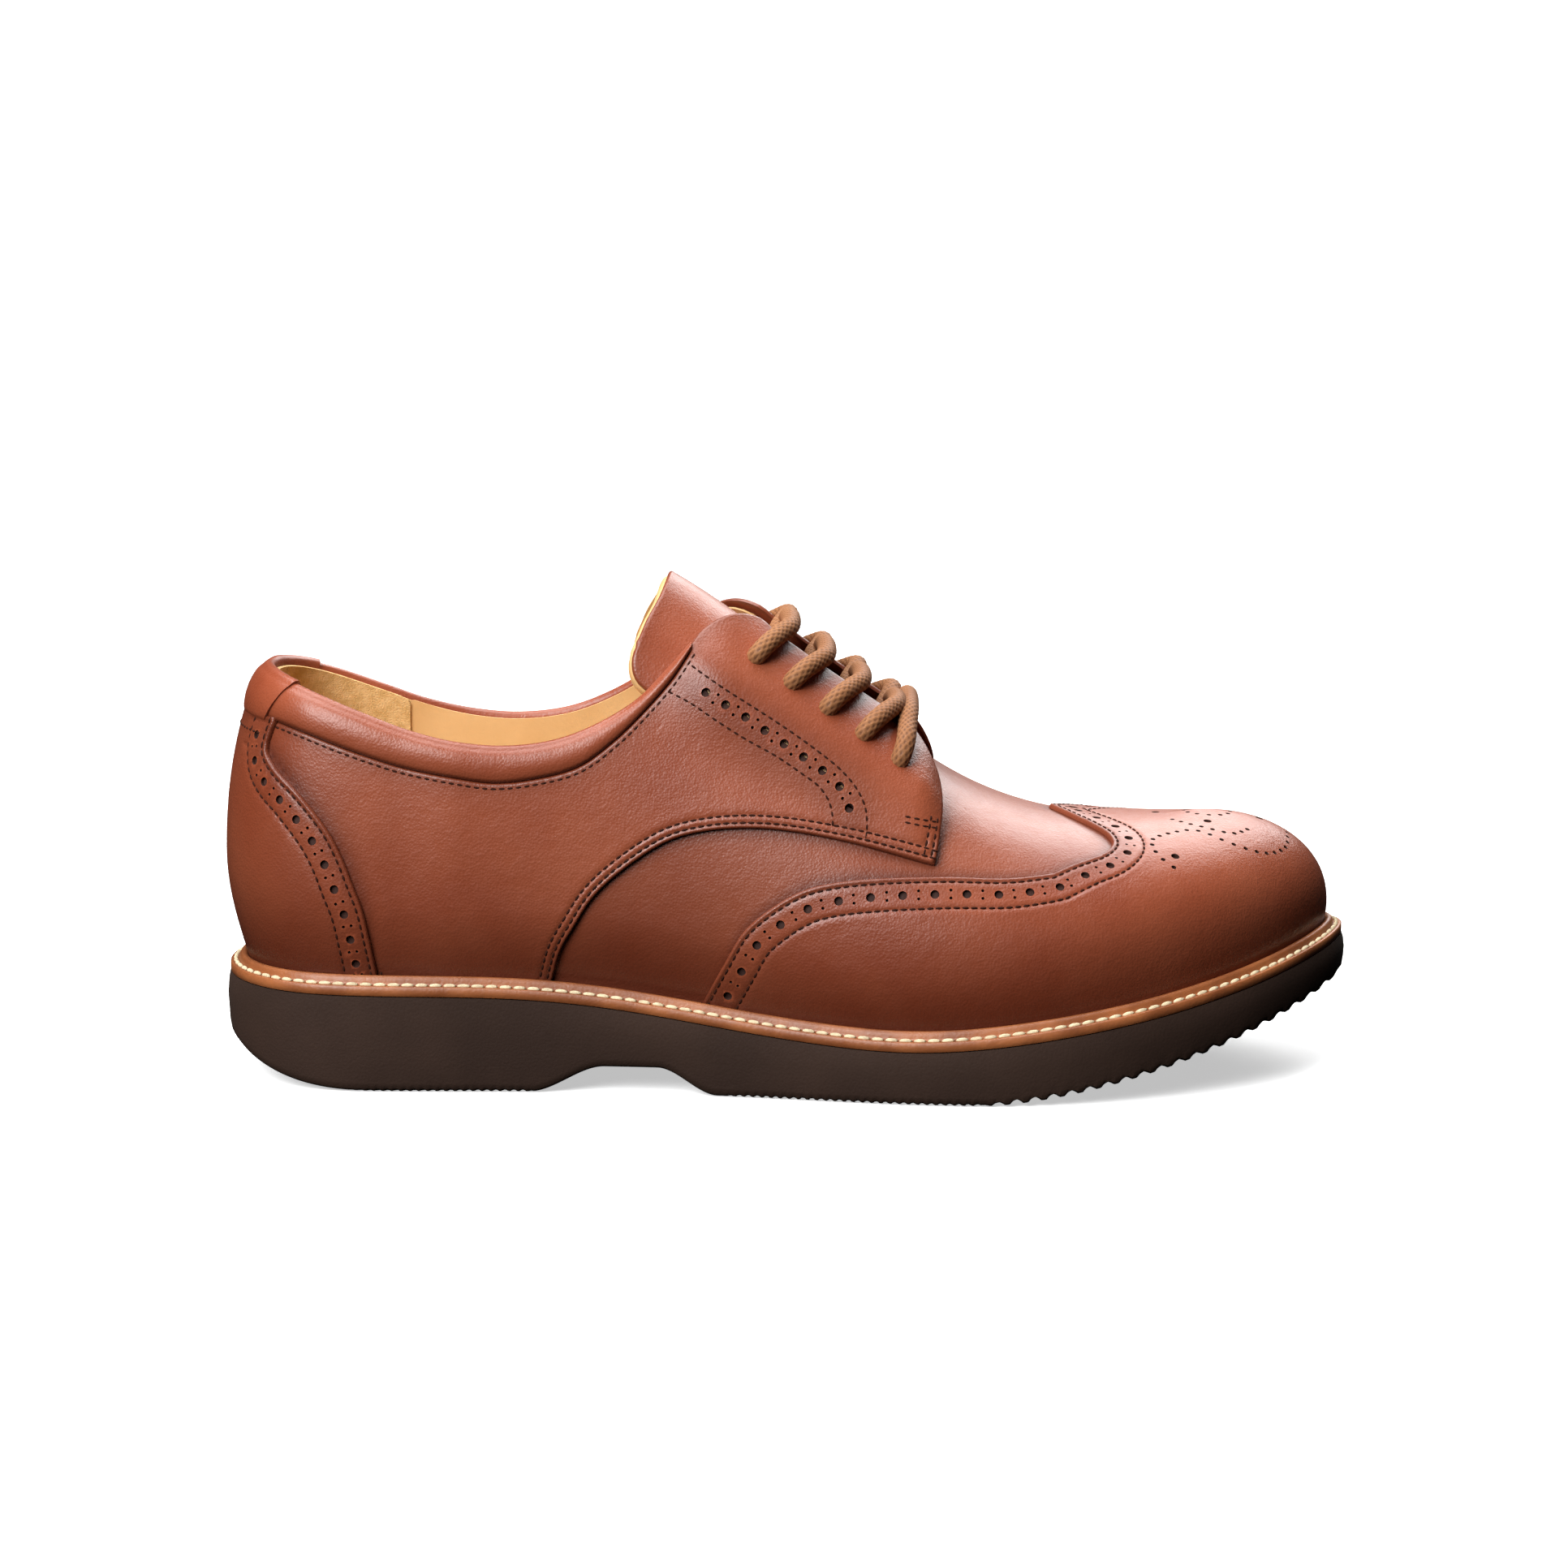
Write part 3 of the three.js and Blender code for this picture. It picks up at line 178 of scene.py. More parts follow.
ring_rows[:4, 0] -= 2
ring_rows[-5:, 0] += 2
ring = spline(ring_rows[:, 0], ring_rows[:, 1:])

SOLE_TOP = np.array([
    [-4, 27.4], [10, 26.6], [58, 25.6], [86, 24.7], [113, 21.8], [138, 18], [160, 15.3], [183, 14], [200, 14.8],
    [217, 16.8], [234, 19.4], [251, 22.4], [268, 25.9], [285, 29.8], [302, 34.4], [312, 37.4],
])
sole_top_curve = spline(SOLE_TOP[:, 0], SOLE_TOP[:, 1:])
sole_top = lambda x: sole_top_curve(x)[..., 0]


def ease(x, a, b):
    s = np.clip((x - a) / (b - a), 0, 1)
    return s * s * (3 - 2 * s)


def rim(v, out):
    """The feather line at v moved outwards, in plan."""
    at = lambda s: ring(np.mod(s, 2))[..., 3:5]
    along = at(v + 0.003) - at(v - 0.003)
    along /= np.linalg.norm(along, axis=-1, keepdims=True)
    return at(v) + np.stack([along[..., 1], -along[..., 0]], -1) * out


def ripples(x):
    """Height of the tread's relief at x: fine under heel and ball, coarse up the toe."""
    wave = lambda pitch: np.clip(1.6 * np.sin(2 * np.pi * x / pitch), -1, 1) * 0.5 + 0.5
    heel_part = ease(x, 34, 46) * (1 - ease(x, 82, 86))
    ball_part = ease(x, 134, 142) * (1 - ease(x, 200, 208))
    return wave(2.4) * 0.45 * (heel_part + ball_part) + wave(4.8) * 1.15 * ease(x, 200, 212)


def plain_tread(x):
    """The sole's underside without its ripples."""
    heel = 12 * np.clip(1 - x / 45, 0, 1.2) ** 2.6
    toe = 26 * np.clip((x - 205) / 103, 0, 1.1) ** 1.45
    arch = 7 * np.minimum(ease(x, 84, 104), 1 - ease(x, 118, 134))
    return heel + toe + arch


def tread(x):
    return plain_tread(x) + ripples(x)


node_low, node_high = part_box("outsole")
edge = rim(np.linspace(0, 2, 801), 7.0)
SHIFT = np.array([
    (node_low.x + node_high.x) * 500 - (edge[:, 0].min() + edge[:, 0].max()) / 2,
    (node_low.y + node_high.y) * 500 - (edge[:, 1].min() + edge[:, 1].max()) / 2,
    0.0,
])


def solid(name, points, faces, material, sharp=35, **marks):
    """A mesh piece from millimetre points, with named marks (one number a vertex) for its material."""
    mesh = bpy.data.meshes.new(name)
    mesh.from_pydata(((np.asarray(points) + SHIFT) / 1000).tolist(), [], [list(map(int, f)) for f in faces])
    mesh.materials.append(material)
    for mark, values in marks.items():
        mesh.attributes.new(mark, "FLOAT", "POINT").data.foreach_set("value", np.asarray(values, np.float32))
    mesh.update()
    mesh.shade_smooth()
    mesh.set_sharp_from_angle(angle=math.radians(sharp))
    obj = bpy.data.objects.new(name, mesh)
    bpy.context.collection.objects.link(obj)
    return obj


def slab(levels, stations):
    """Points and faces of a plate: each level is (outset, height over x), bottom first."""
    points, faces, n = [], [], stations
    for out, height in levels:
        chain = rim(np.linspace(0, 1, 700), out), rim(np.linspace(2, 1, 700), out)
        x0, x1 = min(c[:, 0].min() for c in chain), max(c[:, 0].max() for c in chain)
        x = x0 + (x1 - x0) * (1 - np.cos(np.pi * np.linspace(0, 1, n + 1))) / 2
        x = 0.75 * np.linspace(x0, x1, n + 1) + 0.25 * x
        x[0], x[-1] = x0, x1
        for c in chain:
            order = np.argsort(c[:, 0])
            y = np.interp(x, c[order, 0], c[order, 1])
            points.append(np.stack([x, y, height(x)], -1))
    for side in (0, n):
        for k in range(len(levels)):
            middle = (points[2 * k][side, 1] + points[2 * k + 1][side, 1]) / 2
            points[2 * k][side, 1] = middle - 0.05
            points[2 * k + 1][side, 1] = middle + 0.05
    m = n + 1
    low, high = (lambda k: 2 * k * m), (lambda k: (2 * k + 1) * m)
    top = len(levels) - 1
    for i in range(n):
        faces.append((low(0) + i, high(0) + i, high(0) + i + 1, low(0) + i + 1))
        faces.append((low(top) + i, low(top) + i + 1, high(top) + i + 1, high(top) + i))
        for k in range(top):
            faces.append((low(k) + i, low(k) + i + 1, low(k + 1) + i + 1, low(k + 1) + i))
            faces.append((high(k) + i + 1, high(k) + i, high(k + 1) + i, high(k + 1) + i + 1))
    for k in range(top):
        faces.append((high(k), low(k), low(k + 1), high(k + 1)))
        faces.append((low(k) + n, high(k) + n, high(k + 1) + n, low(k + 1) + n))
    return np.vstack(points), faces


def group(name, inputs, outputs):
    """An empty shader node group with the given sockets."""
    tree = bpy.data.node_groups.new(name, "ShaderNodeTree")
    for label, kind, default in inputs:
        socket = tree.interface.new_socket(label, in_out="INPUT", socket_type=kind)
        socket.default_value = default
    for label, kind in outputs:
        tree.interface.new_socket(label, in_out="OUTPUT", socket_type=kind)
    return tree, tree.nodes.new("NodeGroupInput"), tree.nodes.new("NodeGroupOutput")


def node(tree, kind, values=(), **settings):
    """A node with settings and input values; a value that is a socket is linked."""
    made = tree.nodes.new(kind)
    for key, value in settings.items():
        setattr(made, key, value)
    for key, value in dict(values).items():
        if isinstance(value, bpy.types.NodeSocket):
            tree.links.new(value, made.inputs[key])
        else:
            made.inputs[key].default_value = value
    return made


def blend_colours(tree, share, first, second):
    """Mixes two colours, each a value or a socket."""
    mix = tree.nodes.new("ShaderNodeMix")
    mix.data_type = "RGBA"
    for socket, value in ((mix.inputs[0], share), (mix.inputs[6], first), (mix.inputs[7], second)):
        if isinstance(value, bpy.types.NodeSocket):
            tree.links.new(value, socket)
        else:
            socket.default_value = value
    return mix.outputs[2]


def principled(name):
    """A new material, its node tree and its shader."""
    material = bpy.data.materials.new(name)
    material.use_nodes = True
    return material, material.node_tree, material.node_tree.nodes["Principled BSDF"]


# Cloudy tone and fine speckle, shared by rubber, fibreboard and leather.
mottle, mottle_in, mottle_out = group(
    "mottle", [("Scale", "NodeSocketFloat", 60.0), ("Fine", "NodeSocketFloat", 900.0)],
    [("Tone", "NodeSocketFloat"), ("Speckle", "NodeSocketFloat")],
)
mottle_at = node(mottle, "ShaderNodeTexCoord").outputs["Object"]
cloud = node(mottle, "ShaderNodeTexNoise", {"Vector": mottle_at, "Scale": mottle_in.outputs["Scale"], "Detail": 4.0})
speck = node(mottle, "ShaderNodeTexNoise", {"Vector": mottle_at, "Scale": mottle_in.outputs["Fine"], "Detail": 2.0})
mottle.links.new(cloud.outputs["Fac"], mottle_out.inputs["Tone"])
mottle.links.new(speck.outputs["Fac"], mottle_out.inputs["Speckle"])


ROUGHNESS_SPREAD = 0.12


def finish(name, dark, light, roughness, bump, scale=60.0, fine=900.0, metallic=0.0, specular=0.5):
    """A mottled surface: two colours, a roughness that drifts with the speckle, a fine relief."""
    material, tree, shader = principled(name)
    tone = node(tree, "ShaderNodeGroup", node_tree=mottle)
    tone.inputs["Scale"].default_value, tone.inputs["Fine"].default_value = scale, fine
    ramp = node(tree, "ShaderNodeMapRange", {"Value": tone.outputs["Tone"], "From Min": 0.35, "From Max": 0.65})
    colour = blend_colours(tree, ramp.outputs["Result"], (*dark, 1), (*light, 1))
    tree.links.new(colour, shader.inputs["Base Color"])
    rough = node(tree, "ShaderNodeMapRange", {
        "Value": tone.outputs["Speckle"],
        "To Min": roughness - ROUGHNESS_SPREAD, "To Max": roughness + ROUGHNESS_SPREAD})
    tree.links.new(rough.outputs["Result"], shader.inputs["Roughness"])
    relief = node(tree, "ShaderNodeBump", {"Height": tone.outputs["Speckle"], "Strength": bump, "Distance": 0.0003})
    tree.links.new(relief.outputs["Normal"], shader.inputs["Normal"])
    shader.inputs["Metallic"].default_value = metallic
    shader.inputs["Specular IOR Level"].default_value = specular
    return material


sole_rubber = finish("sole_rubber", (0.028, 0.0135, 0.0085), (0.037, 0.0185, 0.012), 0.82, 0.35, 40, 1500,
                     specular=0.25)
between = lambda share: lambda x: plain_tread(x) + (sole_top(x) - plain_tread(x)) * share
outsole = solid("outsole_unit", *slab([
    (3.6, tread), (5.6, lambda x: tread(x) + 0.3),
    (6.4, lambda x: tread(x) * 0.6 + plain_tread(x) * 0.4 + 1.0),
    (6.65, lambda x: plain_tread(x) + 2.6), (6.8, between(0.35)),
    (7.0, between(0.6)), (6.7, between(0.85)), (6.2, sole_top),
], 900), sole_rubber, sharp=50)
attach(outsole, "shoe")
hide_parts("outsole")


# ---------------------------------------------------------------- welt
# A strip of tan leather sewn round the upper's edge, with a raised bead against the upper and
# a groove for the thread.
def band(section, steps=900):
    """A closed ring round the feather line, from (outset, height above the sole) corners."""
    v = np.linspace(0, 2, steps, endpoint=False)
    rings = []
    for out, height in section:
        flat = rim(v, out)
        rings.append(np.stack([flat[:, 0], flat[:, 1], sole_top(flat[:, 0]) + height], -1))
    m = len(section)
    points = np.stack(rings, 1).reshape(-1, 3)
    faces = []
    for i in range(steps):
        j = (i + 1) % steps
        for k in range(m):
            q = (k + 1) % m
            faces.append((i * m + k, j * m + k, j * m + q, i * m + q))
    return points, faces


WELT_SECTION = [
    (1.5, 0.15), (5.9, 0.15), (6.15, 0.35), (6.2, 1.4), (6.15, 2.5), (5.85, 2.85), (5.3, 2.92), (5.05, 2.75),
    (4.75, 2.7), (4.45, 2.75), (4.2, 2.95), (3.9, 3.05), (3.75, 3.5), (3.6, 4.3), (3.2, 5.0), (2.6, 5.25),
    (1.9, 5.1), (1.45, 4.6),
]
welt_leather = finish("welt_leather", (0.23, 0.068, 0.021), (0.36, 0.118, 0.038), 0.42, 0.3, 90, 1100)
welt = solid("welt_strip", *band(WELT_SECTION), welt_leather, sharp=60)
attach(welt, "shoe")
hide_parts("welt")


# ---------------------------------------------------------------- welt stitching
# Waxed cream lockstitches laid in the welt's groove, each a short fat thread pulled down at
# its ends. Set out along the groove and repeated from one stitch.
def grower(name, inputs):
    """A geometry tree with points coming in and named inputs: the tree, its input and its output."""
    tree = bpy.data.node_groups.new(name, "GeometryNodeTree")
    for label, kind, default in [("Geometry", "Geometry", None)] + inputs:
        socket = tree.interface.new_socket(label, in_out="INPUT", socket_type="NodeSocket" + kind)
        if default is not None:
            socket.default_value = default
    tree.interface.new_socket("Geometry", in_out="OUTPUT", socket_type="NodeSocketGeometry")
    return tree, tree.nodes.new("NodeGroupInput"), tree.nodes.new("NodeGroupOutput")


def read_mark(tree, label, kind="FLOAT_VECTOR"):
    """A socket that reads a mark of the points."""
    return node(tree, "GeometryNodeInputNamedAttribute", {"Name": label}, data_type=kind).outputs[0]


def stitch_tree():
    """Geometry nodes: a stitch on each point, turned along its marks, then made real."""
    tree, given, out = grower("stitches", [
        ("Length", "Float", 0.002), ("Thickness", "Float", 0.0006), ("Loose", "Float", 0.06),
        ("Seed", "Int", 3), ("Thread", "Material", None)])
    ball = node(tree, "GeometryNodeMeshUVSphere", {"Segments": 8, "Rings": 6, "Radius": 0.5})
    turn = node(tree, "FunctionNodeAlignRotationToVector", {"Vector": read_mark(tree, "along")}, axis="X")
    roll = node(tree, "FunctionNodeAlignRotationToVector", {
        "Rotation": turn.outputs[0], "Vector": read_mark(tree, "away")}, axis="Z", pivot_axis="X")
    chance = node(tree, "FunctionNodeRandomValue", {"Seed": given.outputs["Seed"]}, data_type="FLOAT")
    math_of = lambda a, b, operation: node(tree, "ShaderNodeMath", {0: a, 1: b}, operation=operation).outputs[0]
    slack = math_of(chance.outputs[1], given.outputs["Loose"], "MULTIPLY")
    length = math_of(given.outputs["Length"], math_of(1.0, slack, "SUBTRACT"), "MULTIPLY")
    size = node(tree, "ShaderNodeCombineXYZ", {
        "X": length, "Y": given.outputs["Thickness"], "Z": given.outputs["Thickness"]})
    place = node(tree, "GeometryNodeInstanceOnPoints", {
        "Points": given.outputs["Geometry"], "Instance": ball.outputs[0], "Rotation": roll.outputs[0],
        "Scale": size.outputs[0]})
    real = node(tree, "GeometryNodeRealizeInstances", {"Geometry": place.outputs[0]})
    smooth = node(tree, "GeometryNodeSetShadeSmooth", {"Geometry": real.outputs[0]})
    paint = node(tree, "GeometryNodeSetMaterial", {
        "Geometry": smooth.outputs[0], "Material": given.outputs["Thread"]})
    tree.links.new(paint.outputs[0], out.inputs[0])
    return tree


STITCH_TREE = stitch_tree()


def settle(obj):
    """Replaces an object's mesh by what its modifiers make of it, and removes them."""
    graph = bpy.context.evaluated_depsgraph_get()
    made = bpy.data.meshes.new_from_object(obj.evaluated_get(graph))
    obj.modifiers.clear()
    obj.data = made
    return made


def grow(name, tree, points, values, **marks):
    """Runs a geometry tree on loose points with vector marks, and keeps the result as a mesh."""
    cloud_mesh = bpy.data.meshes.new(name + "_points")
    cloud_mesh.from_pydata(((points + SHIFT) / 1000).tolist(), [], [])
    for mark, given in marks.items():
        kind, field = ("FLOAT_VECTOR", "vector") if np.ndim(given) == 2 else ("FLOAT", "value")
        store = cloud_mesh.attributes.new(mark, kind, "POINT").data
        store.foreach_set(field, np.ascontiguousarray(given, np.float32).ravel())
    obj = bpy.data.objects.new(name, cloud_mesh)
    bpy.context.collection.objects.link(obj)
    modifier = obj.modifiers.new("grow", "NODES")
    modifier.node_group = tree
    for item in tree.interface.items_tree:
        if item.in_out == "INPUT" and item.name in values:
            modifier[item.identifier] = values[item.name]
    settle(obj).name = name
    return obj


def thread_finish(name, colour):
    """Waxed thread: matte, with a very fine mottle."""
    return finish(name, tuple(c * 0.72 for c in colour), colour, 0.85, 0.35, 700, 2600, specular=0.12)


def spaced(points, pitch):
    """Indexes as floats along a polyline, evenly spaced by pitch."""
    run = np.concatenate([[0], np.cumsum(np.linalg.norm(np.diff(points, axis=0), axis=1))])
    count = max(1, int(run[-1] / pitch))
    return np.interp((np.arange(count) + 0.5) * run[-1] / count, run, np.arange(len(points)))


def pick(rows, at):
    """Rows read at float indexes."""
    i = np.clip(at.astype(int), 0, len(rows) - 2)
    f = (at - i)[:, None]
    return rows[i] * (1 - f) + rows[i + 1] * f


welt_thread = thread_finish("welt_thread_wax", (0.80, 0.67, 0.44))
loop_v = np.linspace(0, 2, 1600)
groove = rim(loop_v, 4.72)
groove = np.stack([groove[:, 0], groove[:, 1], sole_top(groove[:, 0]) + 3.0], -1)
at = spaced(groove, 3.7)
along = pick(np.gradient(groove, axis=0), at)
welt_stitches = grow(
    "welt_stitches", STITCH_TREE, pick(groove, at),
    {"Length": 0.0036, "Thickness": 0.0013, "Loose": 0.08, "Seed": 5, "Thread": welt_thread},
    along=along, away=np.tile([0, 0, 1.0], (len(at), 1)),
)
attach(welt_stitches, "shoe")
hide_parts("welt_thread")


# ---------------------------------------------------------------- vamp
# The front panel of burnished calf over the instep, running back under both quarters and
# forward under the wingtip. It is pulled over the form and turned under at the feather line.
FEATHER_HEIGHT = 5.2
WIDEST_T = 0.25


def form(v, t):
    """A point of the form: v round the shoe, t from the feather line (0) to the crown (1)."""
    q = ring(np.mod(v, 2))
    crown, foot, swell, rise, n = q[..., :3], q[..., 3:5], q[..., 5], q[..., 6], q[..., 7]
    out = foot - crown[..., :2]
    reach = np.linalg.norm(out, axis=-1)
    out = out / reach[..., None]
    base = sole_top(foot[..., 0]) + FEATHER_HEIGHT
    share = np.clip(t / WIDEST_T, 0, 1)
    turn = np.clip((t - WIDEST_T) / (1 - WIDEST_T), 0, 1) * np.pi / 2
    wide = base + rise
    r = np.where(t < WIDEST_T, reach + swell * np.sin(share * np.pi / 2),
                 (reach + swell) * np.maximum(np.cos(turn), 0) ** (2 / n))
    over = wide + (crown[..., 2] - wide) * np.sin(turn) ** (2 / n)
    z = np.where(t < WIDEST_T, base + rise * share, over)
    z = z + np.minimum(t, 0) * 100
    return np.stack([crown[..., 0] + out[..., 0] * r, crown[..., 1] + out[..., 1] * r, z], -1)


def outward(v, t):
    """Unit normals of the form, shared by both sides along the crown."""
    def plain(a, b):
        along_ = form(a + 0.004, b) - form(a - 0.004, b)
        up = form(a, np.minimum(1, b + 0.01)) - form(a, np.maximum(0.0, b - 0.01))
        n = np.cross(along_, up)
        return n / np.maximum(np.linalg.norm(n, axis=-1, keepdims=True), 1e-9)

    kept = np.clip(t, 0.0, 0.97)
    here, across = plain(v, kept), plain(2 - v, kept)
    share = ease(t, 0.93, 1.0)[..., None] * 0.5
    n = here * (1 - share) + across * share
    return n / np.linalg.norm(n, axis=-1, keepdims=True)


def on_form(vt):
    """The points of the form at (v, t) rows."""
    return form(vt[:, 0], vt[:, 1])


OVERLAP = 1.6


def over_vamp(x):
    """How far a panel rises where it lies over the vamp."""
    return OVERLAP * ease(x, 48, 66)


FACING_LIFT = 7.0


def facing_rise(x, t):
    """How far the facings stand off the instep, over lace and tongue."""
    return FACING_LIFT * ease(x, 108, 136) * (1 - ease(x, 184, 200)) * ease(t, 0.5, 0.69)


def smooth_line(points, step=0.7):
    """A centripetal curve through given points, evenly stepped."""
    p = np.asarray(points, float)
    p = np.vstack([2 * p[0] - p[1], p, 2 * p[-1] - p[-2]])
    out = []
    for a, b, c, d in zip(p[:-3], p[1:-2], p[2:-1], p[3:]):
        k = [0.0]
        for s, e in ((a, b), (b, c), (c, d)):
            k.append(k[-1] + max(np.linalg.norm(e - s), 1e-6) ** 0.5)
        n = max(2, int(np.linalg.norm(c - b) / step))
        t = np.linspace(k[1], k[2], n, endpoint=False)[:, None]
        mix = lambda u, w, s, e: (e - t) / (e - s) * u + (t - s) / (e - s) * w
        a1, a2, a3 = mix(a, b, k[0], k[1]), mix(b, c, k[1], k[2]), mix(c, d, k[2], k[3])
        b1, b2 = mix(a1, a2, k[0], k[2]), mix(a2, a3, k[1], k[3])
        out.append(mix(b1, b2, k[1], k[2]))
    return np.vstack(out + [p[-2:-1]])


def locate(targets, axes, inner, rise=None):
    """The (v, t) whose point shows at each target on two axes, on the outer or inner side."""
    gv, gt = np.meshgrid(np.linspace(0.005, 0.995, 150), np.linspace(0.02, 0.995, 80), indexing="ij")
    gv = 2 - gv.ravel() if inner else gv.ravel()
    gt = gt.ravel()
    if axes == (0, 1):
        gv, gt = gv[gt > 0.45], gt[gt > 0.45]

    def show(v, t):
        p = form(v, t)
        return (p + outward(v, t) * rise(p[..., 0], t)[..., None] if rise else p)[..., axes]

    cloud_ = show(gv, gt)
    near = np.array([np.argmin(((cloud_ - q) ** 2).sum(1)) for q in targets])
    v, t = gv[near].copy(), gt[near].copy()
    for _ in range(10):
        miss = show(v, t) - targets
        dv = (show(v + 1e-3, t) - show(v, t)) / 1e-3
        dt = (show(v, np.minimum(t + 1e-3, 1)) - show(v, t - 1e-3)) / (np.minimum(t + 1e-3, 1) - t + 1e-3)[:, None]
        det = dv[:, 0] * dt[:, 1] - dv[:, 1] * dt[:, 0]
        det = np.where(np.abs(det) < 1e-6, 1e-6, det)
        v -= np.clip((dt[:, 1] * miss[:, 0] - dt[:, 0] * miss[:, 1]) / det, -0.02, 0.02)
        t -= np.clip((dv[:, 0] * miss[:, 1] - dv[:, 1] * miss[:, 0]) / det, -0.03, 0.03)
        t = np.clip(t, -0.03, 1.0)
    lost = ~np.isfinite(v + t) | ~(np.linalg.norm(show(v, t) - targets, axis=1) < 2)
    v[lost], t[lost] = gv[near][lost], gt[near][lost]
    return np.stack([v, t], -1)


def reach_to(points, line):
    """Distance from points to a polyline, in millimetres."""
    a, b = line[:-1], line[1:]
    ab = b - a
    length = np.maximum((ab**2).sum(1), 1e-9)
    best = np.full(len(points), 1e9)
    for i in range(0, len(points), 4000):
        p = points[i:i + 4000, None, :]
        s = np.clip(((p - a) * ab).sum(2) / length, 0, 1)
        best[i:i + 4000] = np.sqrt((((a + s[..., None] * ab) - p) ** 2).sum(2).min(1))
    return best


def within(x, y, outline):
    """True where (x, y) lies inside a closed outline."""
    hit = np.zeros(len(x), bool)
    for (x1, y1), (x2, y2) in zip(outline, np.roll(outline, -1, axis=0)):
        if y1 != y2:
            crosses = (y1 > y) != (y2 > y)
            hit ^= crosses & (x < (x2 - x1) * (y - y1) / (y2 - y1) + x1)
    return hit


def slice_at(marks, faces, column, level):
    """Cuts triangles along a level of one column, so that an edge of the mesh lies on it."""
    s = marks[:, column] - level
    s[np.abs(s) < 0.05] = 0
    marks[np.abs(s) == 0, column] = level
    sign = np.sign(s)
    edges = np.sort(np.vstack([faces[:, [0, 1]], faces[:, [1, 2]], faces[:, [2, 0]]]), axis=1)
    edges = edges[sign[edges[:, 0]] * sign[edges[:, 1]] < 0]
    if not len(edges):
        return marks, faces
    keys, spot = np.unique(edges[:, 0] * len(marks) + edges[:, 1], return_index=True)
    ends = edges[spot]
    share = (s[ends[:, 0]] / (s[ends[:, 0]] - s[ends[:, 1]]))[:, None]
    fresh = marks[ends[:, 0]] * (1 - share) + marks[ends[:, 1]] * share
    fresh[:, column] = level
    new_at = lambda a, b: len(marks) + np.searchsorted(keys, np.minimum(a, b) * len(marks) + np.maximum(a, b))
    g = sign[faces]
    lone = np.zeros(len(faces), int)
    cut_two = (g.min(1) < 0) & (g.max(1) > 0) & ((g == 0).sum(1) == 0)
    cut_one = (g.min(1) < 0) & (g.max(1) > 0) & ((g == 0).sum(1) == 1)
    for k in range(3):
        lone[cut_two & (g[:, k] * g[:, (k + 1) % 3] < 0) & (g[:, k] * g[:, (k + 2) % 3] < 0)] = k
        lone[cut_one & (g[:, k] == 0)] = k
    turned = lambda mask: [faces[mask][np.arange(mask.sum()), (lone[mask] + k) % 3] for k in range(3)]
    a, b, c = turned(cut_two)
    ab, ca = new_at(a, b), new_at(c, a)
    d, e, f = turned(cut_one)
    ef = new_at(e, f)
    corners = ((a, ab, ca), (ab, b, c), (ab, c, ca), (d, e, ef), (d, ef, f))
    pieces = [faces[~(cut_two | cut_one)]] + [np.stack(corner, 1) for corner in corners]
    return np.vstack([marks, fresh]), np.vstack(pieces)


TURN_UNDER = -0.03
SPACING = (0.0044, 0.011)


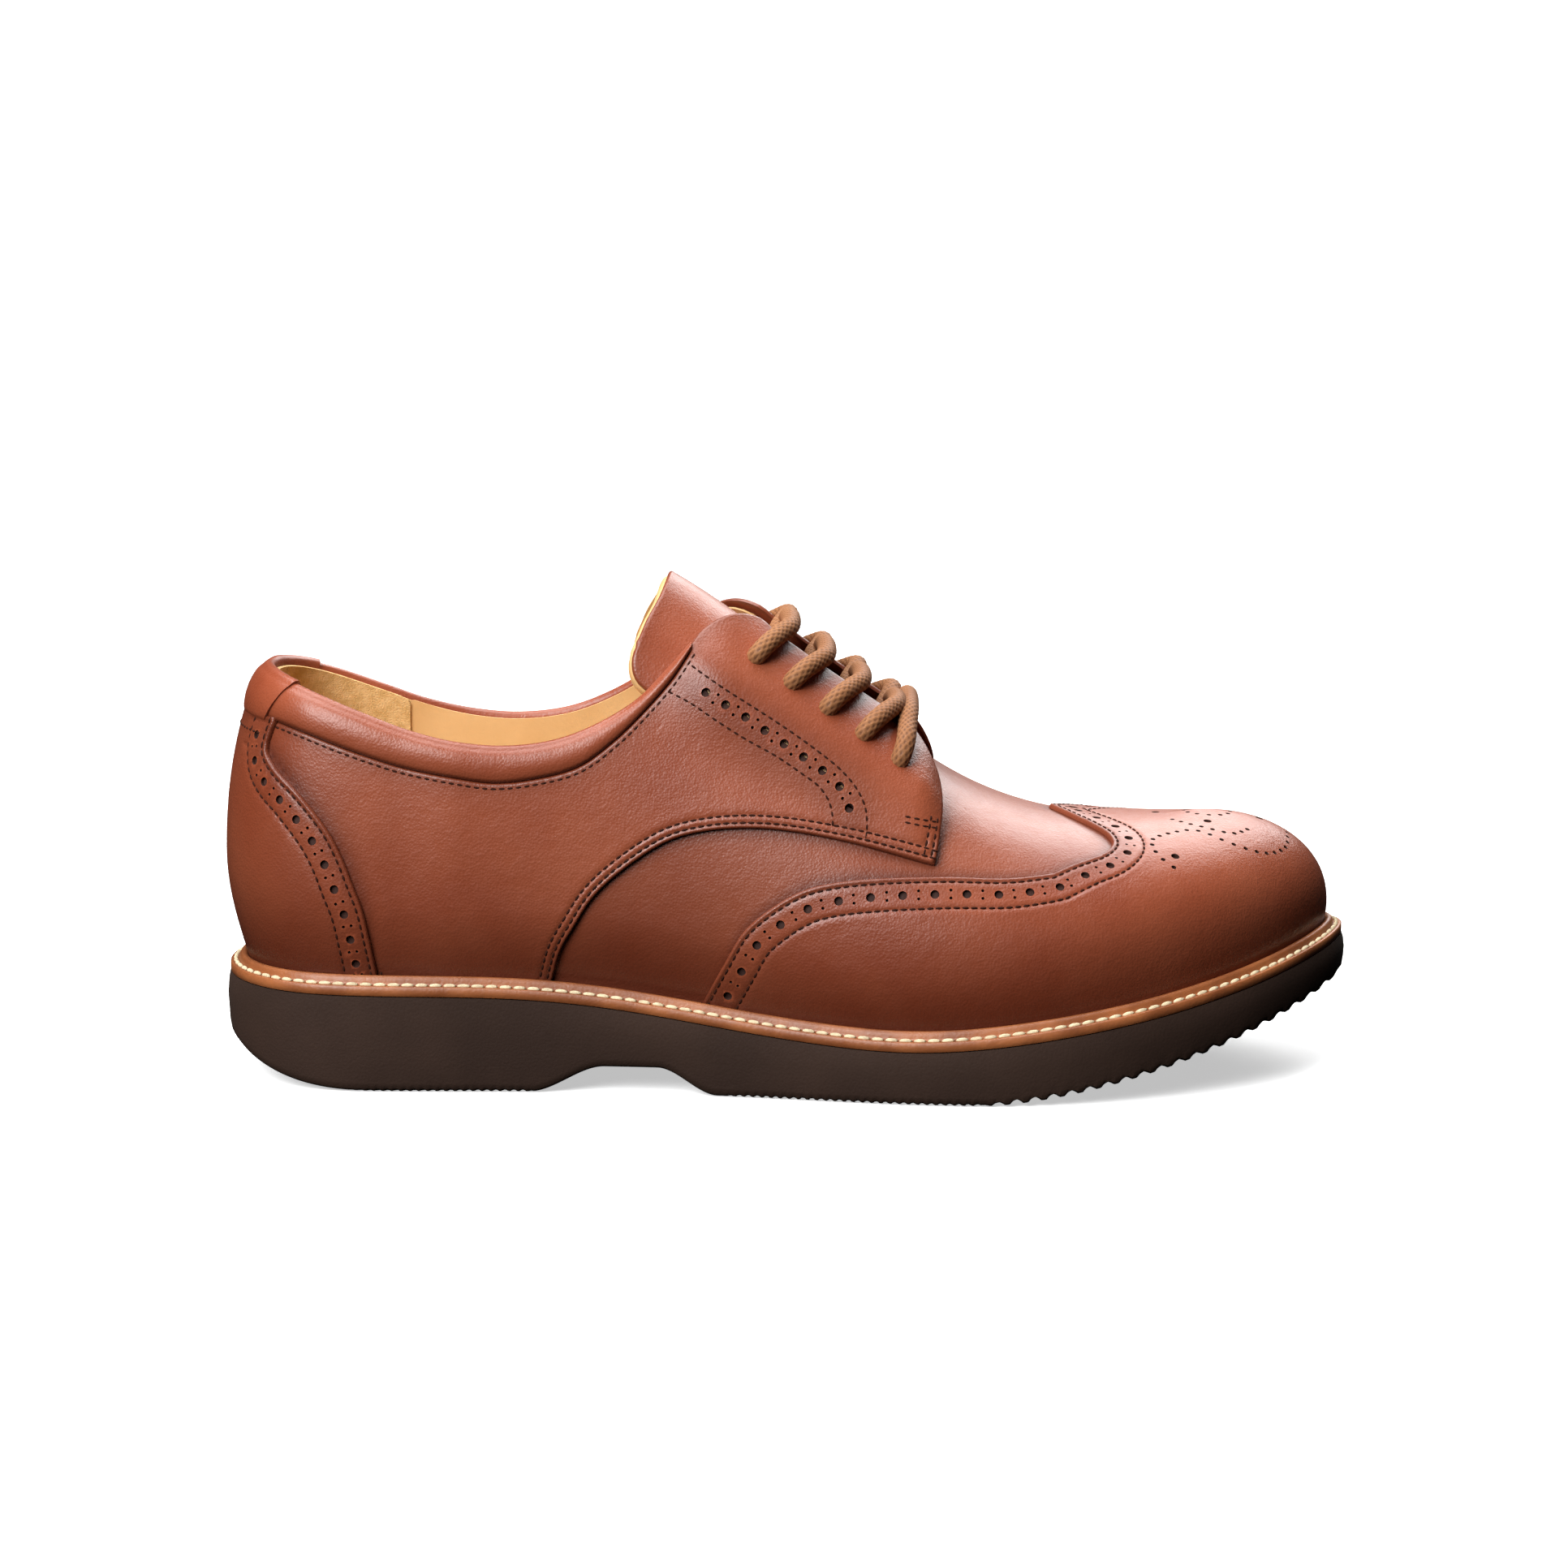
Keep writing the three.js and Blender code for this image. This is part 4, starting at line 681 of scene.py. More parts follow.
def panel(name, material, span, field, outer, thick, rows=(), roll=0.8, top_t=1.0, pitch=SPACING,
          burnish=None, sewn=None):
    """A sheet over the form where field is above 0, given thickness, rolled edges and stitch grooves.

    field takes (v, t, points) and gives the distance in from the piece's edge; rows are the
    distances at which a row of stitches pulls the leather down, wherever sewn is 1.
    """
    v = np.linspace(*span, int((span[1] - span[0]) / pitch[0]) + 1)
    low_t, upper_t = np.linspace(TURN_UNDER, WIDEST_T, 18), np.arange(WIDEST_T, top_t, pitch[1])
    t = np.unique(np.concatenate([low_t, upper_t, [top_t]]))
    vv, tt = np.meshgrid(v, t, indexing="ij")
    m = len(t)
    i, j = np.meshgrid(np.arange(len(v) - 1), np.arange(m - 1), indexing="ij")
    q = (i * m + j).ravel()
    faces = np.vstack([np.stack([q, q + m, q + m + 1], 1), np.stack([q, q + m + 1, q + 1], 1)])
    marks = np.stack([vv.ravel(), tt.ravel(), np.zeros(vv.size)], -1)
    marks[:, 2] = field(marks[:, 0], marks[:, 1], form(marks[:, 0], marks[:, 1]))
    faces = faces[(marks[faces, 2] > -6).any(1)]
    marks, faces = slice_at(marks, faces, 2, 0.0)
    faces = faces[(marks[faces, 2] >= 0).all(1) & (marks[faces, 2] > 0).any(1)]
    levels = [0.2, 0.55, 1.0] + [r + s for r in rows for s in (-0.55, 0, 0.55)]
    for level in sorted(levels):
        marks, faces = slice_at(marks, faces, 2, level)
    base = form(marks[:, 0], marks[:, 1])
    _, first, merged = np.unique(np.round(base, 3), axis=0, return_index=True, return_inverse=True)
    merged = merged.ravel()
    faces = merged[faces]
    faces = faces[(faces[:, 0] != faces[:, 1]) & (faces[:, 1] != faces[:, 2]) & (faces[:, 2] != faces[:, 0])]
    marks, base = marks[first], base[first]
    used, packed = np.unique(faces, return_inverse=True)
    faces = packed.reshape(-1, 3)
    marks, base = marks[used], base[used]
    normal = outward(marks[:, 0], marks[:, 1])
    x, t_, d = base[:, 0], marks[:, 1], marks[:, 2]
    high = outer(x, t_)
    inner_face = high - thick
    drop = 1 - np.sqrt(np.clip(1 - (1 - np.clip(d / roll, 0, 1)) ** 2, 0, 1))
    high = high - drop * thick * 0.55
    pull = sewn(base) if sewn else 1.0
    for r in rows:
        groove_ = 0.22 * np.exp(-(((d - r) / 0.5) ** 2))
        shoulder = 0.10 * np.exp(-(((np.abs(d - r) - 1.1) / 0.5) ** 2))
        high = high - pull * groove_ + pull * shoulder
    points = np.vstack([base + normal * high[:, None], base + normal * inner_face[:, None]])
    n = len(base)
    directed = np.vstack([faces[:, [0, 1]], faces[:, [1, 2]], faces[:, [2, 0]]])
    keys = set(map(tuple, directed.tolist()))
    rims = [(a, b) for a, b in directed.tolist() if (b, a) not in keys]
    walls = [(b, a, a + n, b + n) for a, b in rims]
    everything = faces.tolist() + (faces[:, ::-1] + n).tolist() + walls
    glow = burnish(base, d) if burnish else np.zeros(n)
    return solid(name, points, everything, material, sharp=62, burnish=np.concatenate([glow, glow]))


# Pores and fine creases of calf, as heights.
calf, calf_in, calf_out = group(
    "calf_grain", [("Pore", "NodeSocketFloat", 1500.0), ("Crease", "NodeSocketFloat", 260.0)],
    [("Height", "NodeSocketFloat"), ("Tone", "NodeSocketFloat")],
)
calf_at = node(calf, "ShaderNodeTexCoord").outputs["Object"]
pores = node(calf, "ShaderNodeTexVoronoi", {"Vector": calf_at, "Scale": calf_in.outputs["Pore"]}, feature="F1")
creases = node(calf, "ShaderNodeTexNoise", {
    "Vector": calf_at, "Scale": calf_in.outputs["Crease"], "Detail": 6.0, "Roughness": 0.6})
sunk = node(calf, "ShaderNodeMath", {0: pores.outputs["Distance"], 1: 0.35}, operation="MULTIPLY")
both = node(calf, "ShaderNodeMath", {0: sunk.outputs[0], 1: creases.outputs["Fac"]}, operation="ADD")
clouds = node(calf, "ShaderNodeTexNoise", {"Vector": calf_at, "Scale": 22.0, "Detail": 3.0})
calf.links.new(both.outputs[0], calf_out.inputs["Height"])
calf.links.new(clouds.outputs["Fac"], calf_out.inputs["Tone"])


def burnished(name, pale, mid, dark, gloss=0.34):
    """Polished calf: mid tone clouded with a paler one, darkened by a mark that holds both burnish and painted shade.
    """
    material, tree, shader = principled(name)
    grain = node(tree, "ShaderNodeGroup", node_tree=calf)
    cloud_ = node(tree, "ShaderNodeMapRange", {"Value": grain.outputs["Tone"], "From Min": 0.36, "From Max": 0.64})
    body = blend_colours(tree, cloud_.outputs["Result"], (*pale, 1), (*mid, 1))
    mark = node(tree, "ShaderNodeAttribute", attribute_name="burnish")
    shade = blend_colours(tree, mark.outputs["Fac"], body, (*dark, 1))
    tree.links.new(shade, shader.inputs["Base Color"])
    rough = node(tree, "ShaderNodeMapRange", {
        "Value": grain.outputs["Height"], "From Min": 0.3, "From Max": 0.9,
        "To Min": gloss - 0.05, "To Max": gloss + 0.08})
    tree.links.new(rough.outputs["Result"], shader.inputs["Roughness"])
    relief = node(tree, "ShaderNodeBump", {"Height": grain.outputs["Height"], "Strength": 0.42, "Distance": 0.0004})
    tree.links.new(relief.outputs["Normal"], shader.inputs["Normal"])
    shader.inputs["Specular IOR Level"].default_value = 0.4
    shader.inputs["Coat Weight"].default_value = 0.08
    shader.inputs["Coat Roughness"].default_value = 0.25
    return material


# The darkest colour stands for both the burnish and the painted shade.
upper_calf = burnished("burnished_calf", (0.310, 0.077, 0.034), (0.238, 0.050, 0.020), (0.044, 0.0075, 0.0035))


def burnish_and_painted_shade(edges=(), near=3.0, strength=0.5, bands=(), low_shade_reach=17):
    """Burnish and painted shade for a panel: burnish darkens it by its own edge, by lines and bands and at the heel;
    painted shade darkens it low down.
    """
    def mark(points, d):
        x, z = points[:, 0], points[:, 2]
        shade = strength * np.exp(-np.maximum(d, 0) / near)
        for line in edges:
            shade = np.maximum(shade, 0.75 * np.exp(-reach_to(points, line) / 3.5))
        for line in bands:
            shade = np.maximum(shade, 0.38 * np.exp(-((reach_to(points, line) / 7) ** 2)))
        # Painted shade: the leather darkens towards the sole, less so up the toe.
        low = z - (sole_top(x) + 5)
        low_shade_strength = 0.75 - 0.4 * ease(x, 215, 280)
        shade = np.maximum(shade, low_shade_strength * np.exp(-np.maximum(low, 0) / low_shade_reach))
        return np.clip(shade + 0.18 * (1 - ease(x, 5, 45)), 0, 1)
    return mark


side_line = lambda points, inner, rise=None: locate(smooth_line(points), (0, 2), inner, rise)
ARCH_SEAM = [
    (89.6, 28), (92.4, 38), (96, 44.6), (101, 52.5), (108, 59.3), (121, 67.9), (131, 70.7), (142, 71.6),
    (153, 71), (168, 68.5), (183, 64.8), (191.2, 62.6),
]
WING_TAIL = [
    (129, 22), (132, 28), (136.2, 36), (141.2, 44.5), (148.7, 51), (157, 55.6), (165, 57.6), (177, 58.7),
    (193.6, 58.8), (210, 57.9), (222, 58.4),
]
WING_LOOP = [(229, -35.5), (236, -30.5), (239, -25), (238, -19), (234.5, -13), (229.5, -5.5), (224, 3.7)]
wing_half = np.vstack([side_line(WING_TAIL, False), locate(smooth_line(WING_LOOP), (0, 1), False)])
wing_half[:, 0] = np.minimum(wing_half[:, 0], 1)
wing_half[-1, 1] = 1
wing_vt = np.vstack([wing_half, (wing_half * [-1, 1] + [2, 0])[-2::-1]])
wing_line = on_form(wing_vt)
arch_lines = [on_form(side_line(ARCH_SEAM, inner)) for inner in (False, True)]
VAMP_REAR = [(78, 12), (80, 30), (85, 46), (95, 60), (106, 70), (121, 77.5), (142, 81), (165, 78.5), (182, 76)]
VAMP_FRONT = [(150, 10), (156, 40), (200, 46), (238, 49), (254, 56), (256, 90)]


def vamp_field(v, t, p):
    shape = np.array(VAMP_REAR + [(187, 78), (187, 200), (256, 200)] + VAMP_FRONT[::-1])
    inside = within(p[:, 0], p[:, 2], shape)
    d = reach_to(p[:, [0, 2]], np.vstack([shape, shape[:1]]))
    return np.where(inside, d, -d)


# On the vamp the painted shade low down reaches further up than on the other panels.
vamp = panel("vamp_panel", upper_calf, (0.2, 1.8), vamp_field, lambda x, t: 0 * x, 1.3,
             burnish=burnish_and_painted_shade([wing_line] + arch_lines, low_shade_reach=34))
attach(vamp, "shoe")
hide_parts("vamp")


# ---------------------------------------------------------------- brogue punching
# Round punched holes: large ones in a row with a pair of pin-holes between each two. The
# punches are repeated cutters, taken out of a finished panel in one go.
def punch_tree():
    """Geometry nodes: a round cutter on each point, standing along its mark, then made real."""
    tree, given, out = grower("punches", [
        ("Depth", "Float", 0.003), ("Sides", "Int", 14), ("Cut Face", "Material", None)])
    tool = node(tree, "GeometryNodeMeshCylinder", {
        "Vertices": given.outputs["Sides"], "Radius": 1.0, "Depth": given.outputs["Depth"]})
    wide = read_mark(tree, "wide", "FLOAT")
    turn = node(tree, "FunctionNodeAlignRotationToVector", {"Vector": read_mark(tree, "away")}, axis="Z")
    size = node(tree, "ShaderNodeCombineXYZ", {"X": wide, "Y": wide, "Z": 1.0})
    place = node(tree, "GeometryNodeInstanceOnPoints", {
        "Points": given.outputs["Geometry"], "Instance": tool.outputs["Mesh"], "Rotation": turn.outputs[0],
        "Scale": size.outputs[0]})
    real = node(tree, "GeometryNodeRealizeInstances", {"Geometry": place.outputs[0]})
    paint = node(tree, "GeometryNodeSetMaterial", {
        "Geometry": real.outputs[0], "Material": given.outputs["Cut Face"]})
    tree.links.new(paint.outputs[0], out.inputs[0])
    return tree


PUNCH_TREE = punch_tree()
# The cut faces inside the holes are near-black: the cut leather's darker colour, deepened into painted shade.
cut_face_and_hole_shade = finish("cut_face_and_hole_shade", (0.030, 0.008, 0.004), (0.050, 0.014, 0.007), 0.8, 0.3)


CUTTER_LENGTH = 5.0
HOLE_DEPTH = 1.05
THROUGH = 3.0


def punch(piece, places, radii, height, sink=HOLE_DEPTH):
    """Takes round holes out of a panel at (v, t) places, to a depth of sink; in millimetres."""
    points, away = on_form(places), outward(places[:, 0], places[:, 1])
    lift = height if np.ndim(height) else np.full(len(points), height)
    centre = (lift + CUTTER_LENGTH / 2 - sink)[:, None]
    tools = grow(piece.name + "_tools", PUNCH_TREE, points + away * centre,
                 {"Depth": CUTTER_LENGTH / 1000, "Sides": 14, "Cut Face": cut_face_and_hole_shade},
                 away=away, wide=np.asarray(radii) / 1000)
    piece.data.materials.append(cut_face_and_hole_shade)
    modifier = piece.modifiers.new("punch", "BOOLEAN")
    modifier.operation, modifier.solver, modifier.object = "DIFFERENCE", "MANIFOLD", tools
    settle(piece).set_sharp_from_angle(angle=math.radians(50))
    bpy.data.objects.remove(tools)


def project(points, guess):
    """Moves loose points onto the form, and gives their (v, t)."""
    v, t = guess[:, 0].copy(), guess[:, 1].copy()
    for _ in range(8):
        here = form(v, t)
        a = (form(v + 1e-3, t) - here) / 1e-3
        low_t = np.clip(t - 1e-3, -0.03, 0.999)
        b = (form(v, low_t + 1e-3) - form(v, low_t)) / 1e-3
        r = points - here
        aa, ab, bb = (a * a).sum(1), (a * b).sum(1), (b * b).sum(1)
        ra, rb = (r * a).sum(1), (r * b).sum(1)
        det = np.maximum(aa * bb - ab * ab, 1e-6)
        v += np.clip((bb * ra - ab * rb) / det, -0.02, 0.02)
        t = np.clip(t + np.clip((aa * rb - ab * ra) / det, -0.03, 0.03), -0.02, 1.0)
    return np.stack([v, t], -1)


def inset(line_vt, distance):
    """A seam moved sideways over the form by a distance; positive is to its right."""
    p = on_form(line_vt)
    n = outward(line_vt[:, 0], line_vt[:, 1])
    along_ = np.gradient(p, axis=0)
    side = np.cross(along_, n)
    side /= np.maximum(np.linalg.norm(side, axis=1, keepdims=True), 1e-9)
    kernel = np.ones(5) / 5
    side = np.stack([np.convolve(np.pad(side[:, k], 2, "edge"), kernel, "valid") for k in range(3)], -1)
    return project(p + side * distance, line_vt)


BIG_HOLE, PIN_HOLE, PINS_APART = 1.2, 0.42, 1.05


def brogue(line_vt, spacing=8.3):
    """Places and radii along a centre line: large holes with a pair of pin-holes between."""
    p = on_form(line_vt)
    main = spaced(p, spacing)
    between_ = (main[1:] + main[:-1]) / 2
    pins = [pick(inset(line_vt, s), between_) for s in (-PINS_APART, PINS_APART)]
    places = np.vstack([pick(line_vt, main)] + pins)
    return places, np.concatenate([np.full(len(main), BIG_HOLE), np.full(2 * len(between_), PIN_HOLE)])


def pairs_at(line_vt, height):
    """Stitch points and normals along a (v, t) line, standing at a height."""
    p = on_form(line_vt)
    n = outward(line_vt[:, 0], line_vt[:, 1])
    lift = height(p[:, 0], line_vt[:, 1]) if callable(height) else np.full(len(p), height)
    return p + n * lift[:, None], n


STITCH = {"Length": 1.95 / 1000, "Thickness": 0.72 / 1000, "Loose": 0.1, "Seed": 7}
STITCH_SUNK = 0.18


def sew(name, lines, height, pitch=2.3):
    """Rows of stitches along (v, t) lines, as one mesh."""
    spots, runs, ups = [], [], []
    for line in lines:
        p, n = pairs_at(line, height)
        at_ = spaced(p, pitch)
        spots.append(pick(p - n * STITCH_SUNK, at_))
        runs.append(pick(np.gradient(p, axis=0), at_))
        ups.append(pick(n, at_))
    made = grow(name, STITCH_TREE, np.vstack(spots), {**STITCH, "Thread": upper_thread},
                along=np.vstack(runs), away=np.vstack(ups))
    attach(made, "shoe")


upper_thread = thread_finish("upper_thread", (0.040, 0.011, 0.006))


# ---------------------------------------------------------------- wingtip
# The toe cap with a pointed peak and two long wings, sewn over the vamp's front. A brogued
# band follows its edge and a punched medallion sits on the toe.
wing_shape = np.vstack([wing_half, [(wing_half[-1, 0], 1.01), (1.01, 1.01), (1.01, -0.1), (wing_half[0, 0], -0.1)]])


def wing_field(v, t, p):
    inside = within(np.where(v > 1, 2 - v, v), t, wing_shape)
    d = reach_to(p, wing_line)
    return np.where(inside, d, -d)


WING_ROWS = (1.5, 8.6)
CAP_FACE = 1.45
cap_face = lambda x, t: 0 * x + CAP_FACE
wingtip = panel("wingtip_panel", upper_calf, (0.38, 1.62), wing_field, cap_face, 1.35, rows=WING_ROWS,
                burnish=burnish_and_painted_shade(near=5.0, strength=0.45))
wing_places, wing_radii = brogue(inset(wing_vt[6:-6], 4.9))
MEDALLION_BIG = [(281.5, 6.4), (253.5, 6), (266.5, -4.5), (266.5, 17), (255.5, -27), (255.5, 39)]
ring_angle = np.linspace(0, 2 * np.pi, 24, endpoint=False)
medallion_ring = np.stack([267.5 + 6.2 * np.cos(ring_angle[::2]), 6.2 + 5.4 * np.sin(ring_angle[::2])], -1)
SCROLLS = (
    ([(289, 6.2), (287, -5), (280, -13), (271, -15), (262, -12), (256, -15), (250, -21), (251, -28),
      (256, -32)], 3.1),
    ([(278, -4), (272, -10), (262, -8), (256, -3)], 2.9),
)
scrolls = []
for knots, gap in SCROLLS:
    scroll = smooth_line(knots, 0.5)
    scrolls.append(pick(scroll, spaced(scroll, gap)))
mirrored = [scroll * [1, -1] + [0, 12.4] for scroll in scrolls]
dots = np.vstack([medallion_ring] + scrolls + mirrored)
spots_plan = np.vstack([MEDALLION_BIG, dots])
near_side = spots_plan[:, 1] < 6.0
toe_places = np.vstack([locate(spots_plan[near_side], (0, 1), False), locate(spots_plan[~near_side], (0, 1), True)])
toe_radii = np.concatenate([np.full(len(MEDALLION_BIG), 1.15), np.full(len(dots), 0.68)])
toe_radii = np.concatenate([toe_radii[near_side], toe_radii[~near_side]])
punch(wingtip, np.vstack([wing_places, toe_places]), np.concatenate([wing_radii, toe_radii]), height=CAP_FACE)
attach(wingtip, "shoe")
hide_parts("wingtip")
sew("wingtip_stitches", [inset(wing_vt[3:-3], r) for r in WING_ROWS], CAP_FACE)


# ---------------------------------------------------------------- quarters
# Two side panels, sewn over the vamp along a double-stitched arch and carrying the eyelet
# facings, which are free at the front. A brogued band runs down behind the eyelets.
FACING = [
    (191.2, 62.6), (192.6, 69.3), (193.8, 77), (193, 83.5), (189.3, 91.4), (185.1, 96.3), (176.5, 102), (167.7, 108),
    (156.7, 115.7), (149.5, 121), (145.5, 124.4), (140, 126), (135, 125.3), (130, 122.3), (126.4, 118),
]
COLLAR_SEAM = [
    (127, 117), (122, 109.5), (115, 101.5), (107, 93.8), (97.5, 87), (86, 83.8), (75, 82.7), (65, 84),
    (51, 86.6), (42, 89.3), (33.7, 92.1), (24.5, 95.3), (16, 97.6), (8, 98.3),
]
quarter_face = lambda x, t: over_vamp(x) + facing_rise(x, t)
BAND_UPPER = [(127, 113.5), (131.2, 110.6), (137.5, 106.5), (145.7, 101.4), (152.8, 96.8), (160.2, 91.6),
              (166.5, 86.6), (170.6, 81.9), (172.9, 77.1), (173.4, 72), (173, 68.8)]
BAND_HOLES = [(128.5, 108.1), (133.9, 104.7), (140.2, 101), (145.7, 97.3), (151.9, 93.1), (157.8, 89.1), (163.4, 85),
              (168.1, 79.6), (168.9, 73.5)]
BAND_LOWER = [(120.8, 106.7), (126.8, 103.8), (133.9, 99.2), (141.1, 94.7), (149.2, 90.3), (156.2, 85.7), (161, 82.1),
              (163.4, 78.5), (164.3, 75.1), (164.4, 71.9)]
EYELETS = 5
EYELET_ROW = np.stack([np.linspace(144.3, 182.2, EYELETS), np.linspace(115.2, 88.4, EYELETS)], -1)
EYELET_RADIUS = 2.5
QUARTER_ROWS = (1.4, 3.3)
TACKS = ([(183, 73.3), (192, 71.4)], [(183, 74.8), (192, 72.9)])
quarter_outline = np.vstack([
    smooth_line(ARCH_SEAM), smooth_line(FACING)[1:], smooth_line(COLLAR_SEAM), [(8, 60), (20, 10), (88, 10)]])
quarters = {}
for inner in (False, True):
    side = "medial" if inner else "lateral"
    shown = np.vstack([smooth_line(ARCH_SEAM), smooth_line(FACING)[1:], smooth_line(COLLAR_SEAM)])
    edge_vt = locate(shown, (0, 2), inner, quarter_face)
    edge_line = on_form(edge_vt)

    def quarter_field(v, t, p, edge_line=edge_line, inner=inner):
        lifted = p + outward(v, t) * quarter_face(p[:, 0], t)[:, None]
        inside = within(lifted[:, 0], lifted[:, 2], quarter_outline)
        d = reach_to(p, edge_line)
        return np.where(inside, d, -d)

    counter_shade = on_form(side_line([(43.4, 31.5), (40.3, 48.5), (35, 62.8), (27.5, 74.9), (14.6, 89.6)], inner))
    band_vt = side_line(BAND_HOLES, inner, quarter_face)
    band_shade = on_form(band_vt)
    quarter = panel("quarter_" + side + "_panel", upper_calf, (1.35, 1.99) if inner else (0.01, 0.65),
                    quarter_field, quarter_face, 1.3, rows=QUARTER_ROWS,
                    burnish=burnish_and_painted_shade([counter_shade], strength=0.4, bands=[band_shade]),
                    sewn=lambda p, seam=arch_lines[int(inner)]: 1 - ease(reach_to(p, seam), 4.0, 7.0))
    holes_vt, holes_r = brogue(band_vt, spacing=6.1)
    eyes_vt = locate(EYELET_ROW, (0, 2), inner, quarter_face)
    every = np.vstack([holes_vt, eyes_vt])
    face_height = quarter_face(on_form(every)[:, 0], every[:, 1])
    punch(quarter, every, np.concatenate([holes_r, np.full(EYELETS, EYELET_RADIUS)]), height=face_height,
          sink=np.concatenate([np.full(len(holes_r), HOLE_DEPTH), np.full(EYELETS, THROUGH)]))
    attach(quarter, "shoe")
    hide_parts("quarter_" + side)
    arch_vt = side_line(ARCH_SEAM, inner, quarter_face)
    front_vt = locate(smooth_line(FACING[:3])[:16], (0, 2), inner, quarter_face)
    collar_vt = side_line(COLLAR_SEAM, inner, quarter_face)
    turn = 1 if inner else -1
    rows = [inset(vt[2:], turn * r) for vt in (arch_vt, front_vt) for r in QUARTER_ROWS]
    rows += [side_line(bar_tack, inner, quarter_face) for bar_tack in TACKS]
    rows += [inset(collar_vt, turn * QUARTER_ROWS[0])]
    rows += [side_line(b, inner, quarter_face) for b in (BAND_UPPER, BAND_LOWER)]
    sew("quarter_" + side + "_stitches", rows, quarter_face, pitch=2.2)
    quarters[side] = (quarter, eyes_vt)


# ---------------------------------------------------------------- heel counter
# A brogued piece over the back of both quarters. It narrows towards the top, where it runs up
# under the collar, and holds the stiffener in place.
COUNTER_EDGE = [
    (44, 24), (43.4, 31.5), (42, 40), (40.3, 48.5), (37.8, 55.4), (35, 62.8), (31.6, 69.4), (27.5, 74.9),
    (22.9, 80.1), (17.3, 85.4), (14.8, 89.6), (15.8, 94.1), (17.4, 98.2),
]
counter_vt = [locate(smooth_line(COUNTER_EDGE), (0, 2), inner) for inner in (False, True)]
counter_lines = [on_form(c) for c in counter_vt]
COUNTER_TOP = 98.6
counter_outline = np.vstack([smooth_line(COUNTER_EDGE), [(10, COUNTER_TOP), (-20, 98.8), (-20, 0), (44, 0)]])


def counter_field(v, t, p):
    inside = within(p[:, 0], p[:, 2], counter_outline)
    d = np.minimum(reach_to(p, counter_lines[0]), reach_to(p, counter_lines[1]))
    d = np.minimum(d, np.abs(p[:, 2] - COUNTER_TOP))
    return np.where(inside, d, -d)


COUNTER_ROWS = (1.5, 8.4)
counter = panel("heel_counter_panel", upper_calf, (-0.2, 0.2), counter_field, cap_face, 1.3, rows=COUNTER_ROWS,
                top_t=0.8, burnish=burnish_and_painted_shade(near=6.0, strength=0.4),
                sewn=lambda p: 1 - ease(np.minimum(*(reach_to(p, line) for line in counter_lines)), 10.0, 12.5))
lines_in = [inset(c, s * 4.9) for c, s in zip(counter_vt, (-1, 1))]
counter_places, counter_radii = zip(*(brogue(c[4:-4], spacing=6.6) for c in lines_in))
punch(counter, np.vstack(counter_places), np.concatenate(counter_radii), height=CAP_FACE)
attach(counter, "shoe")
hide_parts("heel_counter")
sew("heel_counter_stitches",
    [inset(c[2:], s * r) for c, s in zip(counter_vt, (-1, 1)) for r in COUNTER_ROWS], CAP_FACE)


# ---------------------------------------------------------------- padded collar
# A soft leather roll round the foot opening, filled with foam: sewn to the quarters below and
# turned over the top edge. A leather tab covers it at the back.
TOPLINE = [(127, 119.5), (121, 113), (113, 105), (102, 98.4), (91, 94.3), (78, 92.7), (65, 93.7), (52, 96.7),
           (41, 100.7), (23, 107.5), (12, 111.2), (8, 112)]


def height_over(points, inner, rise=None):
    """t along a side-view line as sorted (v, t), for reading by v."""
    vt = locate(smooth_line(points), (0, 2), inner, rise)
    return vt[np.argsort(vt[:, 0])]


def roll_over(name, material, v, low_t, high_t, out_face, thick, swell, lean=0.0):
    """A closed padded roll between two heights of the form, for each v; lean widens it upwards."""
    s = np.linspace(0, 1, 30)
    shape = []
    for share in s:
        t = low_t + (high_t - low_t) * share
        at_v = v * (1 + lean * share)
        p, n = form(at_v, t), outward(at_v, t)
        cap = math.sqrt(max(0.0, 1 - max(0.0, (share - 0.72) / 0.28) ** 2))
        puff = swell * math.sin(math.pi * min(share / 0.85, 1.0)) ** 0.7
        puff = puff * (1 + 0.05 * np.sin(61 * v + 1) + 0.04 * np.sin(113 * v) * (1 - share))
        lip = 0.55 + 0.45 * min(1.0, share / 0.08)
        face = out_face(p[:, 0], t)
        core = face - thick / 2
        shape.append((p + n * (core + (thick / 2) * cap * lip + puff * cap)[:, None],
                      p + n * (core - thick / 2 * cap)[:, None]))
    outer_ = np.stack([a for a, _ in shape], 1)
    back = np.stack([b for _, b in shape], 1)[:, ::-1]
    loop_ = np.concatenate([outer_, back[:, 1:]], 1)
    n, m = loop_.shape[:2]
    faces = [(i * m + k, (i + 1) * m + k, (i + 1) * m + (k + 1) % m, i * m + (k + 1) % m)
             for i in range(n - 1) for k in range(m)]
    faces += [tuple(range(m)), tuple((n - 1) * m + k for k in reversed(range(m)))]
    points = loop_.reshape(-1, 3)
    shade = np.tile(np.concatenate([0.55 * np.exp(-s * 8), np.full(len(s) - 1, 0.1)]), n)
    return solid(name, points, faces, material, sharp=70, burnish=shade)


seam_t = [height_over(COLLAR_SEAM, inner, quarter_face) for inner in (False, True)]
top_t_ = [height_over(TOPLINE, inner, quarter_face) for inner in (False, True)]
ends = min(seam_t[0][-1, 0], top_t_[0][-1, 0]), max(seam_t[1][0, 0], top_t_[1][0, 0])
roll_v = np.linspace(ends[1] - 2, ends[0], 420)


